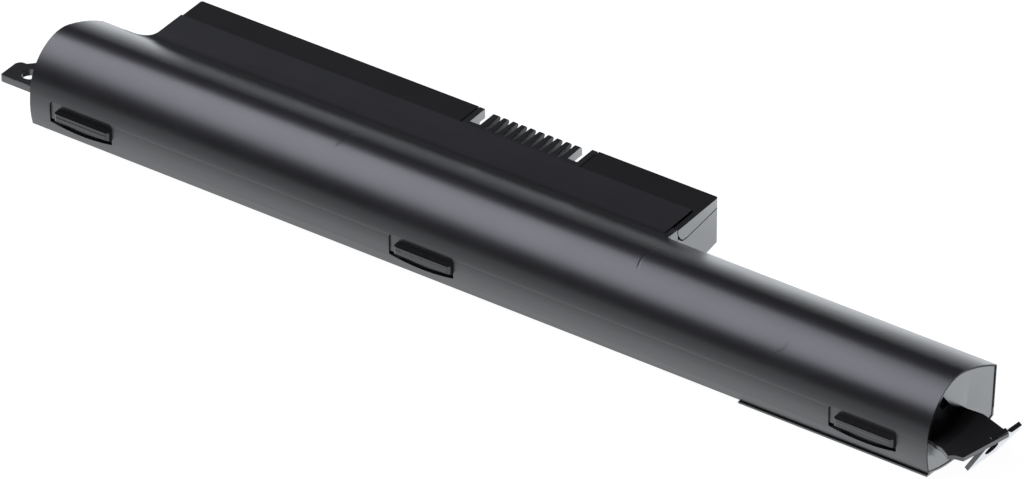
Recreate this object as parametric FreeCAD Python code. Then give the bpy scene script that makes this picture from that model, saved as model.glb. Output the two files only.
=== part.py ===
"""Laptop battery: a round cell barrel with a flat tongue at its back that carries a comb connector.

Millimetres. X runs along the battery, +Y from the barrel's front to the tongue's back edge, +Z up.
The design frame has X = 0 at the barrel's middle, Y = 0 at the front seam and Z = 0 at the barrel's
lowest line. The finished pieces are moved together so that the origin is the bottom centre of the whole.
"""

import FreeCAD
import Part

import math
import os

Vec = FreeCAD.Vector

# Cells
CELL_DIA = 18.3
CELL_LENGTH = 65.0
CELL_COUNT = 4
CELL_BUTTON_DIA = 6.0
CELL_BUTTON_RISE = 0.6
CELL_EDGE_ROUND = 0.8
CELL_Y = 12.0
CELL_Z = 12.3
CELL_PLAY = 0.15
RING_THICK = 0.4
RING_BORE = 7.2
LINK_THICK = 0.3
LINK_WIDTH = 8.0
LINK_TAIL = 3.2
RIB_FRONT_Y = 1.7
END_PAD_THICK = 1.2
STRIP_THICK = 0.3
STRIP_WIDTH = 6.0
STRIP_END_GAP = 0.3
BEAD_DIA = 1.5
BEAD_LENGTH = 4.5
BUS_WIDTH = 2.4
BUS_THICK = 0.3
BUS_LANE = 0.8
BUS_LOW_Z = 8.6
BUS_STEP_Z = 1.3

# Barrel
WALL = 1.3
END_WALL = 1.7
RIM_WIDTH = 0.5
RIM_DEPTH = 0.2
FRONT_RADIUS = 13.0
FRONT_CENTRE_Y = 12.2
FRONT_CENTRE_Z = 11.8
SEAM_FRONT_Z = 2.9
CREST_DEG = 17.0
BACK_TOP_Y = 30.5
BACK_TOP_Z = 17.55
BACK_BOTTOM_Y = 29.6
BACK_BOTTOM_Z = 3.1
BOTTOM_LOW_Y = 14.0
EDGE_ROUND = 0.8
SEAM_GAP = 0.12
SKIRT_GAP = 0.28
SEAM_BACK_Z = 5.5
LIP_LENGTH = 54.8
LIP_REACH = 0.45
LIP_THICK = 0.5

# Tongue
TONGUE_LEFT_X = -120.5
TONGUE_RIGHT_X = 38.8
TONGUE_BACK_Y = 53.25
TONGUE_TOP_Z = 17.5
TONGUE_HEEL_Z = 3.9
TONGUE_FLOOR_Y = 31.0
TONGUE_FLOOR_Z = 0.6
TONGUE_CORNER_R = 0.8
ROOT_FILLET_R = 5.0
VALLEY_RADIUS = 9.0
DECK_THICK = 1.5
LID_FRONT_Y = 44.5
LID_DROP = 0.35
LID_THICK = 1.5
LID_END_STRIP = 1.6
LID_END_FRONT_Y = 35.0
LID_SKIRT = 2.9
END_SKIRT = ((0.0, 0.0), (0.3, 1.6), (1.3, 3.2), (2.5, 4.0), (4.5, 4.1))
DECK_END_GAP = 0.4

# Comb connector
NOTCH_LEFT_X = -33.6
NOTCH_RIGHT_X = 2.7
CHEEK_THICK = 1.7
TOOTH_COUNT = 10
TOOTH_PITCH = 2.7
END_TOOTH_STEP = 3.0
TOOTH_ROOT_WIDTH = 1.8
TOOTH_TIP_WIDTH = 1.25
END_TOOTH_WIDTH = 1.8
TOOTH_HEIGHT = 2.8
TOOTH_TIP_HEIGHT = 1.3
TOOTH_UNDERCUT = 1.8
ROOT_SLOT = 0.8
ROOT_SLOT_LOW = 7.0
FIRST_TOOTH_X = -27.9
COMB_ROOT_Y = 46.3
COMB_BODY_FRONT_Y = 37.5
COMB_TIP_INSET = 0.2
COMB_FLOOR = 1.2
COMB_TIP_CHAMFER = 0.7
CONTACT_THICK = 0.4
CONTACT_HEIGHT = 6.0
CONTACT_LENGTH = 9.0
CONTACT_LIFT = 0.6

# Circuit board
BOARD_LENGTH = 112.0
BOARD_WIDTH = 12.4
BOARD_THICK = 1.0
BOARD_Z = 6.8
BOARD_CENTRE_X = -32.0
BOARD_FRONT_Y = 32.6
BOSS_DIA = 4.6
PEG_DIA = 2.0
PEG_PLAY = 0.1
PEG_RISE = 0.8
BOSS_INSET = 3.5
GAUGE_INSET = 26.0
SWITCH_STEP = 14.0
SHUNT_INSET = 5.0
FUSE_INSET = 10.0
CAPACITOR_CLEARANCE = 3.3
CAPACITOR_PITCH = 2.6
BUS_INSET = 9.0

# Rubber feet, in pockets of the barrel's front skin
FOOT_LEFT_INSET = 17.1
FOOT_MIDDLE_X = -12.85
FOOT_RIGHT_INSET = 17.5
FOOT_LENGTH = 17.1
FOOT_REACH = 1.7
FOOT_UNDER_Z = 7.2
FOOT_BOTTOM_Z = 8.35
FOOT_TOP_Z = 10.4
FOOT_GROOVE_Z = 9.55
FOOT_GROOVE = 0.15
POCKET_LENGTH = 19.5
POCKET_SHIFT = -1.1
POCKET_TOP_Z = 12.4
POCKET_SIDE_Z = 6.2
POCKET_LOW_Z = 5.1
POCKET_CORNER_R = 0.9
POCKET_DEPTH = 0.4
SLIT_TOP_Z = 7.1
SLIT_DEPTH = 1.1
POCKET_BACKING = 0.9
POCKET_MARGIN = 1.2

# Left screw tab
TAB_THICK = 2.0
TAB_TOP_Z = 12.4
TAB_REACH = 11.5
TAB_FRONT_Y = 1.8
TAB_BACK_Y = 9.8
TAB_ROOT_BACK_Y = 17.0
TAB_FLARE = 9.2
TAB_CORNER_R = 1.9
TAB_HOLE_DIA = 4.5
TAB_HOLE_REACH = 5.3
TAB_HOLE_Y = 6.3
FLANGE_THICK = 1.0
FLANGE_RISE = 3.5
SLOT_PLAY = 0.1

# Right bracket
ARM_THICK = 1.25
ARM_TOP_Z = 12.2
ARM_FLAT_REACH = 4.2
ARM_SLOPE = 0.27
ARM_FRONT_Y = 0.9
ARM_BACK_Y = 17.2
WINDOW = (
    (1.0, 12.2),
    (1.3, 15.5),
    (2.6, 18.2),
    (4.2, 20.2),
    (6.4, 22.0),
    (9.0, 18.5),
    (12.1, 15.6),
    (17.0, 12.5),
    (17.0, 12.2),
)
WINDOW_TAB = ((1.5, 18.0), (4.1, 20.6), (9.0, 14.9), (5.8, 15.2))
ARM_EDGE = ((1.6, 0.2), (3.8, -0.3), (6.2, -1.4), (7.5, 0.1))
ARM_SPREAD = 16.0
PLATE_REACH = 10.85
PLATE_Y = 9.5
PLATE_DROP = 1.6
PLATE_SKEW_DEG = 10.6
PLATE_LEAN_DEG = 27.0
PLATE_FRONT = -8.6
PLATE_BACK = 7.6
PLATE_HOLE_DIA = 4.1
PLATE_HOLE = (4.2, -5.35)
PLATE_OUTLINE = (
    (2.2, -0.4),
    (7.4, -0.1),
    (9.7, -2.2),
    (13.0, -1.4),
    (13.3, -3.5),
    (11.2, -5.5),
    (7.9, -9.1),
    (4.9, -9.7),
    (-1.1, -11.5),
    (-1.3, -11.2),
    (0.8, -4.0),
    (1.3, -2.0),
)

# Rows worked out from the sizes above
CELL_R = CELL_DIA / 2.0
BUS_Y = CELL_Y + CELL_R + 1.0
CELL_PITCH = CELL_LENGTH + LINK_THICK
STACK_LENGTH = CELL_COUNT * CELL_PITCH + LINK_THICK
PACK_HALF = STACK_LENGTH / 2.0 + END_PAD_THICK + FLANGE_THICK
END_CLEARANCE = 0.3
BARREL_HALF = PACK_HALF + END_CLEARANCE + END_WALL + RIM_DEPTH
CAVITY_HALF = PACK_HALF + END_CLEARANCE
FOOT_X = (-BARREL_HALF + FOOT_LEFT_INSET, FOOT_MIDDLE_X, BARREL_HALF - FOOT_RIGHT_INSET)
LID_TOP_Z = TONGUE_TOP_Z - LID_DROP
LID_SEAM_Z = LID_TOP_Z - LID_THICK
SKIRT_Z = LID_TOP_Z - LID_SKIRT
FRONT_SKIN_Y = FRONT_CENTRE_Y - FRONT_RADIUS
POCKET_FACE_Y = FRONT_SKIN_Y + POCKET_DEPTH
BOARD_BACK_Y = BOARD_FRONT_Y + BOARD_WIDTH
BOARD_TOP_Z = BOARD_Z + BOARD_THICK
FAR = 400.0


def box(x0, x1, y0, y1, z0, z1):
    """A plain block between two corners."""
    return Part.makeBox(x1 - x0, y1 - y0, z1 - z0, Vec(x0, y0, z0))


def rod(radius, start, end):
    """A round bar from one point to another."""
    direction = end.sub(start)
    return Part.makeCylinder(radius, direction.Length, start, direction)


def arc(first, middle, last):
    """An arc edge through three points."""
    return Part.Arc(first, middle, last).toShape()


def line(first, last):
    """A straight edge."""
    return Part.makeLine(first, last)


def side(y, z):
    """A point of the cross-section, in the plane X = 0."""
    return Vec(0, y, z)


def along_x(face, x0, x1):
    """A cross-section face drawn at X = 0, extruded from x0 to x1."""
    moved = face.copy()
    moved.translate(Vec(x0, 0, 0))
    return moved.extrude(Vec(x1 - x0, 0, 0))


def polygon_x(points, x0, x1):
    """A straight-sided cross-section, extruded from x0 to x1."""
    corners = [side(y, z) for y, z in points]
    face = Part.Face(Part.makePolygon(corners + corners[:1]))
    return along_x(face, x0, x1)


def plan(edges, z0, z1):
    """A plan outline drawn at Z = 0, raised from z0 to z1."""
    face = Part.Face(Part.Wire(edges))
    face.translate(Vec(0, 0, z0))
    return face.extrude(Vec(0, 0, z1 - z0))


def joined(shapes):
    """The union of several solids, with its spare edges removed."""
    whole = shapes[0]
    if len(shapes) > 1:
        whole = whole.multiFuse(shapes[1:])
    return whole.removeSplitter()


def on_front_circle(angle_deg, radius):
    """A point on a circle round the barrel's front centre, with the angle counted from straight up."""
    angle = math.radians(angle_deg)
    return side(
        FRONT_CENTRE_Y + radius * math.sin(angle),
        FRONT_CENTRE_Z + radius * math.cos(angle),
    )


def slope_circle():
    """The centre and radius of the long arc from the barrel's crest down to its back edge."""
    crest = on_front_circle(CREST_DEG, FRONT_RADIUS)
    angle = math.radians(CREST_DEG)
    run = BACK_TOP_Y - crest.y
    fall = crest.z - BACK_TOP_Z
    half_turn = math.atan2(fall, run) - angle
    radius = math.hypot(run, fall) / (2.0 * math.sin(half_turn))
    centre = side(crest.y - radius * math.sin(angle), crest.z - radius * math.cos(angle))
    return centre, radius


def on_slope(y, inset):
    """A point of the barrel's back slope at a stated depth, drawn a stated distance inside it."""
    centre, radius = slope_circle()
    return side(y, centre.z + math.sqrt((radius - inset) ** 2 - (y - centre.y) ** 2))


def barrel_face(inset):
    """The barrel's cross-section, drawn a stated distance inside the outer skin."""
    radius = FRONT_RADIUS - inset
    front = on_front_circle(-90.0, radius)
    crest = on_front_circle(CREST_DEG, radius)
    back_top = on_slope(BACK_TOP_Y - inset, inset)
    back_low = side(BACK_BOTTOM_Y - inset, BACK_BOTTOM_Z + inset * 0.6)
    low = side(BOTTOM_LOW_Y, inset)
    tip = side(inset * 0.9, SEAM_FRONT_Z + inset * 0.55)
    belly = side(front.y - 0.03, (front.z + tip.z) / 2.0)
    edges = [
        arc(tip, belly, front),
        arc(front, on_front_circle(-45.0, radius), crest),
        arc(crest, on_slope((crest.y + back_top.y) / 2.0, inset), back_top),
        line(back_top, back_low),
        arc(back_low, low, tip),
    ]
    return Part.Face(Part.Wire(edges))


def deck_section():
    """The tongue's cross-section, with the hollow valley where it meets the barrel."""
    slope_centre, slope_radius = slope_circle()
    span = slope_radius + VALLEY_RADIUS
    rise = TONGUE_TOP_Z + VALLEY_RADIUS - slope_centre.z
    centre = side(slope_centre.y + math.sqrt(span ** 2 - rise ** 2), TONGUE_TOP_Z + VALLEY_RADIUS)
    toward = slope_centre.sub(centre).normalize()
    upper = centre.add(toward * VALLEY_RADIUS)
    lower = side(centre.y, TONGUE_TOP_Z)
    middle = centre.add(toward.add(side(0, -1)).normalize() * VALLEY_RADIUS)
    heel_round = EDGE_ROUND
    back_top = side(TONGUE_BACK_Y, TONGUE_TOP_Z)
    heel_up = side(TONGUE_BACK_Y, TONGUE_HEEL_Z + heel_round)
    heel_low = side(TONGUE_BACK_Y - heel_round, TONGUE_HEEL_Z)
    heel_mid = side(TONGUE_BACK_Y - heel_round * 0.3, TONGUE_HEEL_Z + heel_round * 0.3)
    floor = side(TONGUE_FLOOR_Y, TONGUE_FLOOR_Z)
    low = side(BOTTOM_LOW_Y, 0)
    inner = side(BOTTOM_LOW_Y, upper.z)
    edges = [
        line(inner, upper),
        arc(upper, middle, lower),
        line(lower, back_top),
        line(back_top, heel_up),
        arc(heel_up, heel_mid, heel_low),
        line(heel_low, floor),
        line(floor, low),
        line(low, inner),
    ]
    return Part.Face(Part.Wire(edges))


def rounded_path(points):
    """A closed plan outline from (x, y, corner radius) points, with an arc at each corner."""
    count = len(points)
    starts = []
    ends = []
    mids = []
    for index, (x, y, radius) in enumerate(points):
        here = Vec(x, y, 0)
        before = points[index - 1]
        after = points[(index + 1) % count]
        to_before = Vec(before[0], before[1], 0).sub(here).normalize()
        to_after = Vec(after[0], after[1], 0).sub(here).normalize()
        if radius <= 0:
            starts.append(here)
            ends.append(here)
            mids.append(None)
            continue
        half = to_before.getAngle(to_after) / 2.0
        reach = radius / math.tan(half)
        middle_line = to_before.add(to_after).normalize()
        centre = here.add(middle_line * (radius / math.sin(half)))
        starts.append(here.add(to_before * reach))
        ends.append(here.add(to_after * reach))
        mids.append(centre.sub(middle_line * radius))
    edges = []
    for index in range(count):
        if mids[index] is not None:
            edges.append(arc(starts[index], mids[index], ends[index]))
        following = (index + 1) % count
        if ends[index].distanceToPoint(starts[following]) > 1e-6:
            edges.append(line(ends[index], starts[following]))
    return edges


def tongue_plan(inset, z0, z1):
    """The tongue seen from above, as a block with rounded corners and hollow roots."""
    left = TONGUE_LEFT_X + inset
    right = TONGUE_RIGHT_X - inset
    back = TONGUE_BACK_Y - inset
    root_y = BACK_TOP_Y - WALL / 2.0
    outline = [
        (left - ROOT_FILLET_R - 2.0, root_y - WALL, 0),
        (left - ROOT_FILLET_R - 2.0, root_y, 0),
        (left, root_y, ROOT_FILLET_R),
        (left, back, TONGUE_CORNER_R),
        (right, back, TONGUE_CORNER_R),
        (right, root_y, WALL),
        (right + WALL + 2.0, root_y, 0),
        (right + WALL + 2.0, root_y - WALL, 0),
    ]
    return plan(rounded_path(outline), z0, z1)


def outer_form():
    """The whole battery case as one filled solid: barrel and tongue."""
    barrel = along_x(barrel_face(0.0), -BARREL_HALF, BARREL_HALF)
    section = along_x(deck_section(), TONGUE_LEFT_X - 20.0, TONGUE_RIGHT_X + 20.0)
    reach = tongue_plan(0.0, -1.0, TONGUE_TOP_Z + VALLEY_RADIUS)
    under = box(TONGUE_LEFT_X, TONGUE_RIGHT_X, BOTTOM_LOW_Y - 1.0, BACK_TOP_Y, -1.0, FAR)
    tongue = section.common(reach.fuse(under))
    return joined([barrel, tongue])


def inner_form():
    """The hollow inside the case."""
    barrel = along_x(barrel_face(WALL), -CAVITY_HALF, CAVITY_HALF)
    left = TONGUE_LEFT_X + WALL
    right = TONGUE_RIGHT_X - WALL
    back = TONGUE_BACK_Y - WALL
    section = [
        (BOTTOM_LOW_Y, WALL),
        (TONGUE_FLOOR_Y, TONGUE_FLOOR_Z + WALL),
        (back, TONGUE_HEEL_Z + WALL),
        (back, LID_SEAM_Z),
        (LID_FRONT_Y - WALL, LID_SEAM_Z),
        (LID_FRONT_Y - WALL, TONGUE_TOP_Z - DECK_THICK),
        (BOTTOM_LOW_Y, TONGUE_TOP_Z - DECK_THICK),
    ]
    tongue = polygon_x(section, left, right)
    return joined([barrel, tongue])


def pocket_outline(x_mid, grow, y0, y1):
    """A foot's pocket outline, grown on all sides and cut from y0 to y1."""
    middle = x_mid + POCKET_SHIFT
    left = middle - POCKET_LENGTH / 2.0 - grow
    right = middle + POCKET_LENGTH / 2.0 + grow
    top = POCKET_TOP_Z + grow
    side_z = POCKET_SIDE_Z - grow
    low = POCKET_LOW_Z - grow
    r = POCKET_CORNER_R
    bend = r * (1.0 - math.sqrt(0.5))
    edges = [
        line(Vec(left, 0, side_z), Vec(left, 0, top - r)),
        arc(Vec(left, 0, top - r), Vec(left + bend, 0, top - bend), Vec(left + r, 0, top)),
        line(Vec(left + r, 0, top), Vec(right - r, 0, top)),
        arc(Vec(right - r, 0, top), Vec(right - bend, 0, top - bend), Vec(right, 0, top - r)),
        line(Vec(right, 0, top - r), Vec(right, 0, side_z)),
        arc(Vec(right, 0, side_z), Vec(middle, 0, low), Vec(left, 0, side_z)),
    ]
    face = Part.Face(Part.Wire(edges))
    face.translate(Vec(0, y0, 0))
    return face.extrude(Vec(0, y1 - y0, 0))


def cell_cutter(extra):
    """The row of cells as one long cylinder, grown by a stated play."""
    start = Vec(-CAVITY_HALF - 5.0, CELL_Y, CELL_Z)
    end = Vec(CAVITY_HALF + 5.0, CELL_Y, CELL_Z)
    return rod(CELL_R + extra, start, end)


def rib_places():
    """Where the moulded cradle ribs stand: two under each cell."""
    places = []
    first = -STACK_LENGTH / 2.0 + LINK_THICK
    for index in range(CELL_COUNT):
        start = first + index * CELL_PITCH
        places.append(start + CELL_LENGTH * 0.22)
        places.append(start + CELL_LENGTH * 0.78)
    return places


def cradle_ribs(z0, z1):
    """The ribs that hold the cells, within a band of heights."""
    inner = along_x(barrel_face(WALL * 0.6), -CAVITY_HALF, CAVITY_HALF)
    ribs = []
    for x in rib_places():
        block = box(x - WALL / 2.0, x + WALL / 2.0, RIB_FRONT_Y, BACK_BOTTOM_Y - WALL, z0, z1)
        ribs.append(block.common(inner).cut(cell_cutter(CELL_PLAY)))
    return ribs


def floor_height(y):
    """The height of the tongue's underside at a stated depth."""
    run = TONGUE_BACK_Y - EDGE_ROUND - TONGUE_FLOOR_Y
    return TONGUE_FLOOR_Z + (y - TONGUE_FLOOR_Y) * (TONGUE_HEEL_Z - TONGUE_FLOOR_Z) / run


def boss_places():
    """The board's four fixing points."""
    half = BOARD_LENGTH / 2.0 - BOSS_INSET
    ys = (BOARD_FRONT_Y + BOSS_INSET, )
    return [(BOARD_CENTRE_X + sign * half * share, y) for y in ys for sign in (-1, 1) for share in (1.0, 0.45)]


def tab_slot():
    """The slot in the left end wall that the screw tab passes through."""
    return box(
        -BARREL_HALF - 1.0, -CAVITY_HALF + 0.5,
        TAB_FRONT_Y - SLOT_PLAY, TAB_ROOT_BACK_Y + SLOT_PLAY,
        TAB_TOP_Z - TAB_THICK - SLOT_PLAY, TAB_TOP_Z + SLOT_PLAY,
    )


def arm_slot():
    """The slot in the right end wall that the bracket's arm passes through."""
    return box(
        CAVITY_HALF - 0.5, BARREL_HALF + 1.0,
        ARM_FRONT_Y - SLOT_PLAY, ARM_BACK_Y + SLOT_PLAY,
        ARM_TOP_Z - ARM_THICK - SLOT_PLAY, ARM_TOP_Z + SLOT_PLAY,
    )


def case_shell():
    """The hollow case before it is split into its mouldings."""
    shell = outer_form().cut(inner_form())
    for x_mid in FOOT_X:
        slit_y = FRONT_SKIN_Y + SLIT_DEPTH
        backing = pocket_outline(x_mid, POCKET_MARGIN, POCKET_FACE_Y, slit_y + POCKET_BACKING)
        shell = shell.fuse(backing.common(outer_form()))
        shell = shell.cut(pocket_outline(x_mid, 0.0, -FAR, POCKET_FACE_Y))
        slit = pocket_outline(x_mid, 0.0, -FAR, slit_y).common(box(-FAR, FAR, -FAR, FAR, -FAR, SLIT_TOP_Z))
        shell = shell.cut(slit)
    rim = barrel_face(RIM_WIDTH)
    shell = shell.cut(along_x(rim, -BARREL_HALF - 1.0, -BARREL_HALF + RIM_DEPTH))
    shell = shell.cut(along_x(rim, BARREL_HALF - RIM_DEPTH, BARREL_HALF + 1.0))
    window = polygon_x(WINDOW, CAVITY_HALF - 0.5, BARREL_HALF + 1.0)
    shell = shell.cut(window.cut(polygon_x(WINDOW_TAB, CAVITY_HALF, BARREL_HALF)))
    notch = box(NOTCH_LEFT_X, NOTCH_RIGHT_X, LID_FRONT_Y, FAR, TONGUE_HEEL_Z + WALL, FAR)
    return shell.cut(notch).cut(tab_slot()).cut(arm_slot())


def lower_zone():
    """The space that the lower moulding takes: pan, tongue floor and tongue walls."""
    pan = box(-FAR, FAR, WALL, FAR, -FAR, SEAM_BACK_Z)
    lip = box(-FAR, FAR, -FAR, WALL + 1.0, -FAR, SEAM_FRONT_Z)
    wall = box(TONGUE_LEFT_X - 1.0, TONGUE_RIGHT_X + 1.0, BACK_TOP_Y + WALL, FAR, -FAR, SKIRT_Z)
    tail = box(
        TONGUE_RIGHT_X - LID_END_STRIP, TONGUE_RIGHT_X + 1.0,
        BACK_TOP_Y + WALL, LID_END_FRONT_Y, 0, FAR,
    )
    return joined([pan, lip, wall, tail])


def lid_zone(x0, x1):
    """The space over the tongue's back edge that a lid strip takes, with its skirt on the outer walls."""
    top = box(x0, x1, LID_FRONT_Y, FAR, LID_SEAM_Z, FAR)
    back = box(x0, x1, TONGUE_BACK_Y - WALL, FAR, SKIRT_Z + SKIRT_GAP, FAR)
    left = box(TONGUE_LEFT_X - 1.0, TONGUE_LEFT_X + WALL, LID_FRONT_Y, FAR, SKIRT_Z + SKIRT_GAP, FAR)
    return top.fuse(back).fuse(left.common(box(x0, x1, 0, FAR, 0, FAR)))


def end_skirt(grow):
    """The space of the right lid's end skirt, whose lower edge ends in a hook at the front."""
    points = [(LID_END_FRONT_Y - grow + y, LID_TOP_Z - drop - grow) for y, drop in END_SKIRT]
    points.append((TONGUE_BACK_Y + 1.0, SKIRT_Z + SKIRT_GAP - grow))
    points.append((TONGUE_BACK_Y + 1.0, FAR))
    points.append((LID_END_FRONT_Y - grow, FAR))
    return polygon_x(points, TONGUE_RIGHT_X - WALL, TONGUE_RIGHT_X + 1.0)


def front_lip():
    """The lip along the right part of the pan's front edge, a little proud of the skin above it."""
    top = SEAM_FRONT_Z - SKIRT_GAP
    inner_y = BOTTOM_LOW_Y * 0.2
    section = [
        (-LIP_REACH, top),
        (-LIP_REACH, top - LIP_THICK),
        (inner_y, SEAM_FRONT_Z * 0.66),
        (inner_y, top - LIP_THICK * 0.5),
        (inner_y * 0.7, top),
    ]
    return polygon_x(section, BARREL_HALF - LIP_LENGTH, BARREL_HALF)


def notch_walls():
    """The tray's two upright walls beside the connector."""
    y0 = BOARD_BACK_Y + SEAM_GAP
    y1 = TONGUE_BACK_Y - WALL * 0.5
    z0 = TONGUE_HEEL_Z + 0.15
    left = box(NOTCH_LEFT_X - WALL, NOTCH_LEFT_X, y0, y1, z0, SKIRT_Z)
    right = box(NOTCH_RIGHT_X, NOTCH_RIGHT_X + WALL, y0, y1, z0, SKIRT_Z)
    return [left, right]


def lower_housing(shell):
    """The lower moulding: barrel pan, tongue tray, cradle ribs and board bosses."""
    tray = shell.common(lower_zone()).cut(end_skirt(SKIRT_GAP))
    parts = [tray, front_lip()] + cradle_ribs(0.5, CELL_Z - CELL_R * 0.45) + notch_walls()
    for x, y in boss_places():
        foot_z = floor_height(y + BOSS_DIA / 2.0) + WALL * 0.3
        parts.append(rod(BOSS_DIA / 2.0, Vec(x, y, foot_z), Vec(x, y, BOARD_Z)))
        parts.append(rod(PEG_DIA / 2.0, Vec(x, y, BOARD_Z - 0.5), Vec(x, y, BOARD_Z + BOARD_THICK + PEG_RISE)))
    return joined(parts)


def upper_housing(shell):
    """The upper moulding: barrel skin, end walls, deck panel and the ribs that press on the cells."""
    cover = shell.cut(lower_zone())
    over_lids = box(TONGUE_LEFT_X - 1.0, FAR, LID_FRONT_Y - SEAM_GAP, FAR, SKIRT_Z - 1.0, FAR)
    end_strip = box(
        TONGUE_RIGHT_X - LID_END_STRIP - DECK_END_GAP, FAR,
        BACK_TOP_Y + WALL, FAR, SKIRT_Z - 1.0, FAR,
    )
    cover = cover.cut(over_lids).cut(end_strip)
    pressing = [rib for rib in cradle_ribs(CELL_Z + CELL_R * 0.55, FAR / 4.0)]
    return joined([cover] + pressing)


def tongue_lid(shell, x0, x1, end_strip):
    """One lid strip along the tongue's back edge, a little lower than the deck beside it."""
    full = joined([shell, inner_form().common(tongue_plan(0.2, 0, FAR))])
    zone = lid_zone(x0, x1)
    if end_strip:
        tail = box(
            TONGUE_RIGHT_X - LID_END_STRIP, TONGUE_RIGHT_X + 1.0,
            LID_END_FRONT_Y + SEAM_GAP, FAR, LID_SEAM_Z, FAR,
        )
        zone = zone.fuse(tail).fuse(end_skirt(0.0))
    over = box(-FAR, FAR, 0, FAR, LID_TOP_Z, FAR)
    return full.common(zone).cut(over).removeSplitter()


def foot(x_mid):
    """One rubber foot: a bar with a level top, a grooved front, a sloped underside and round ends."""
    front = FRONT_SKIN_Y - FOOT_REACH
    section = [
        (POCKET_FACE_Y, FOOT_UNDER_Z),
        (front, FOOT_BOTTOM_Z),
        (front, FOOT_GROOVE_Z - FOOT_GROOVE),
        (front + FOOT_GROOVE, FOOT_GROOVE_Z),
        (front, FOOT_GROOVE_Z + FOOT_GROOVE),
        (front, FOOT_TOP_Z),
        (POCKET_FACE_Y, FOOT_TOP_Z),
    ]
    half = FOOT_LENGTH / 2.0
    bar = polygon_x(section, x_mid - half, x_mid + half)
    depth = POCKET_FACE_Y - front
    outline = [
        (x_mid - half, POCKET_FACE_Y, 0),
        (x_mid - half, front, depth * 0.5),
        (x_mid + half, front, depth * 0.5),
        (x_mid + half, POCKET_FACE_Y, 0),
    ]
    return bar.common(plan(rounded_path(outline), 0, FAR / 10.0))


def cell(index):
    """One cylindrical cell with its raised positive button at the right end."""
    start = -STACK_LENGTH / 2.0 + LINK_THICK + index * CELL_PITCH
    body = rod(CELL_R, Vec(start, CELL_Y, CELL_Z), Vec(start + CELL_LENGTH - CELL_BUTTON_RISE, CELL_Y, CELL_Z))
    round_edges = [e for e in body.Edges if len(e.Vertexes) == 1 and abs(e.Length - math.pi * CELL_DIA) < 0.1]
    body = body.makeFillet(CELL_EDGE_ROUND, round_edges)
    end = start + CELL_LENGTH
    button = rod(
        CELL_BUTTON_DIA / 2.0,
        Vec(end - CELL_BUTTON_RISE - 1.0, CELL_Y, CELL_Z),
        Vec(end, CELL_Y, CELL_Z),
    )
    return joined([body, button])


def insulator_ring(index):
    """The paper ring round a cell's positive button."""
    face_x = -STACK_LENGTH / 2.0 + LINK_THICK + index * CELL_PITCH + CELL_LENGTH - CELL_BUTTON_RISE
    disc = rod(CELL_R - CELL_EDGE_ROUND, Vec(face_x, CELL_Y, CELL_Z), Vec(face_x + RING_THICK, CELL_Y, CELL_Z))
    bore = rod(RING_BORE / 2.0, Vec(face_x - 1.0, CELL_Y, CELL_Z), Vec(face_x + 1.0, CELL_Y, CELL_Z))
    return disc.cut(bore)


def link_strip(index):
    """The nickel link before cell number index, with a tail that bends over the cells' back."""
    x0 = -STACK_LENGTH / 2.0 + index * CELL_PITCH
    tail_y = CELL_Y + CELL_R + 1.0
    plate = box(x0, x0 + LINK_THICK, CELL_Y - 4.0, tail_y, CELL_Z - LINK_WIDTH / 2.0, CELL_Z + LINK_WIDTH / 2.0)
    toward = 1.0 if index < CELL_COUNT else -1.0
    first = x0 if toward > 0 else x0 + LINK_THICK
    last = first + toward * LINK_TAIL
    tail = box(
        min(first, last), max(first, last), tail_y - LINK_THICK, tail_y,
        CELL_Z - LINK_WIDTH / 2.0, CELL_Z + LINK_WIDTH / 2.0,
    )
    return joined([plate, tail])


def bus_strip(index, x_board):
    """A flat conductor from a link's tail along the back of the cells and over to the board."""
    level = BUS_LOW_Z + index * BUS_STEP_Z
    x_tail = -STACK_LENGTH / 2.0 + index * CELL_PITCH
    x_tail = x_tail + (LINK_TAIL * 0.5 if index < CELL_COUNT else -LINK_TAIL * 0.5)
    lane_y = BUS_Y + index * BUS_LANE
    x0 = min(x_tail - BUS_WIDTH / 2.0, x_board - BUS_WIDTH / 2.0)
    x1 = max(x_tail + BUS_WIDTH / 2.0, x_board + BUS_WIDTH / 2.0)
    run = box(x0, x1, lane_y, lane_y + BUS_THICK, level, level + BUS_WIDTH)
    parts = [run]
    if lane_y > BUS_Y:
        parts.append(box(
            x_tail - BUS_WIDTH / 2.0, x_tail + BUS_WIDTH / 2.0,
            BUS_Y, lane_y + BUS_THICK, level + BUS_WIDTH - BUS_THICK, level + BUS_WIDTH,
        ))
    board_top = BOARD_TOP_Z
    reach = BOARD_FRONT_Y + 2.0
    parts.append(box(
        x_board - BUS_WIDTH / 2.0, x_board + BUS_WIDTH / 2.0,
        lane_y, reach, level, level + BUS_THICK,
    ))
    parts.append(box(
        x_board - BUS_WIDTH / 2.0, x_board + BUS_WIDTH / 2.0,
        reach - BUS_THICK, reach, board_top, level + BUS_THICK,
    ))
    return joined(parts)


def end_pad(sign):
    """The foam pad between an end link and the bracket's flange."""
    x0 = sign * STACK_LENGTH / 2.0
    x1 = x0 + sign * END_PAD_THICK
    half = CELL_R * 0.72
    return box(min(x0, x1), max(x0, x1), CELL_Y - half, CELL_Y + half, CELL_Z - half, CELL_Z + half)


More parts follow.
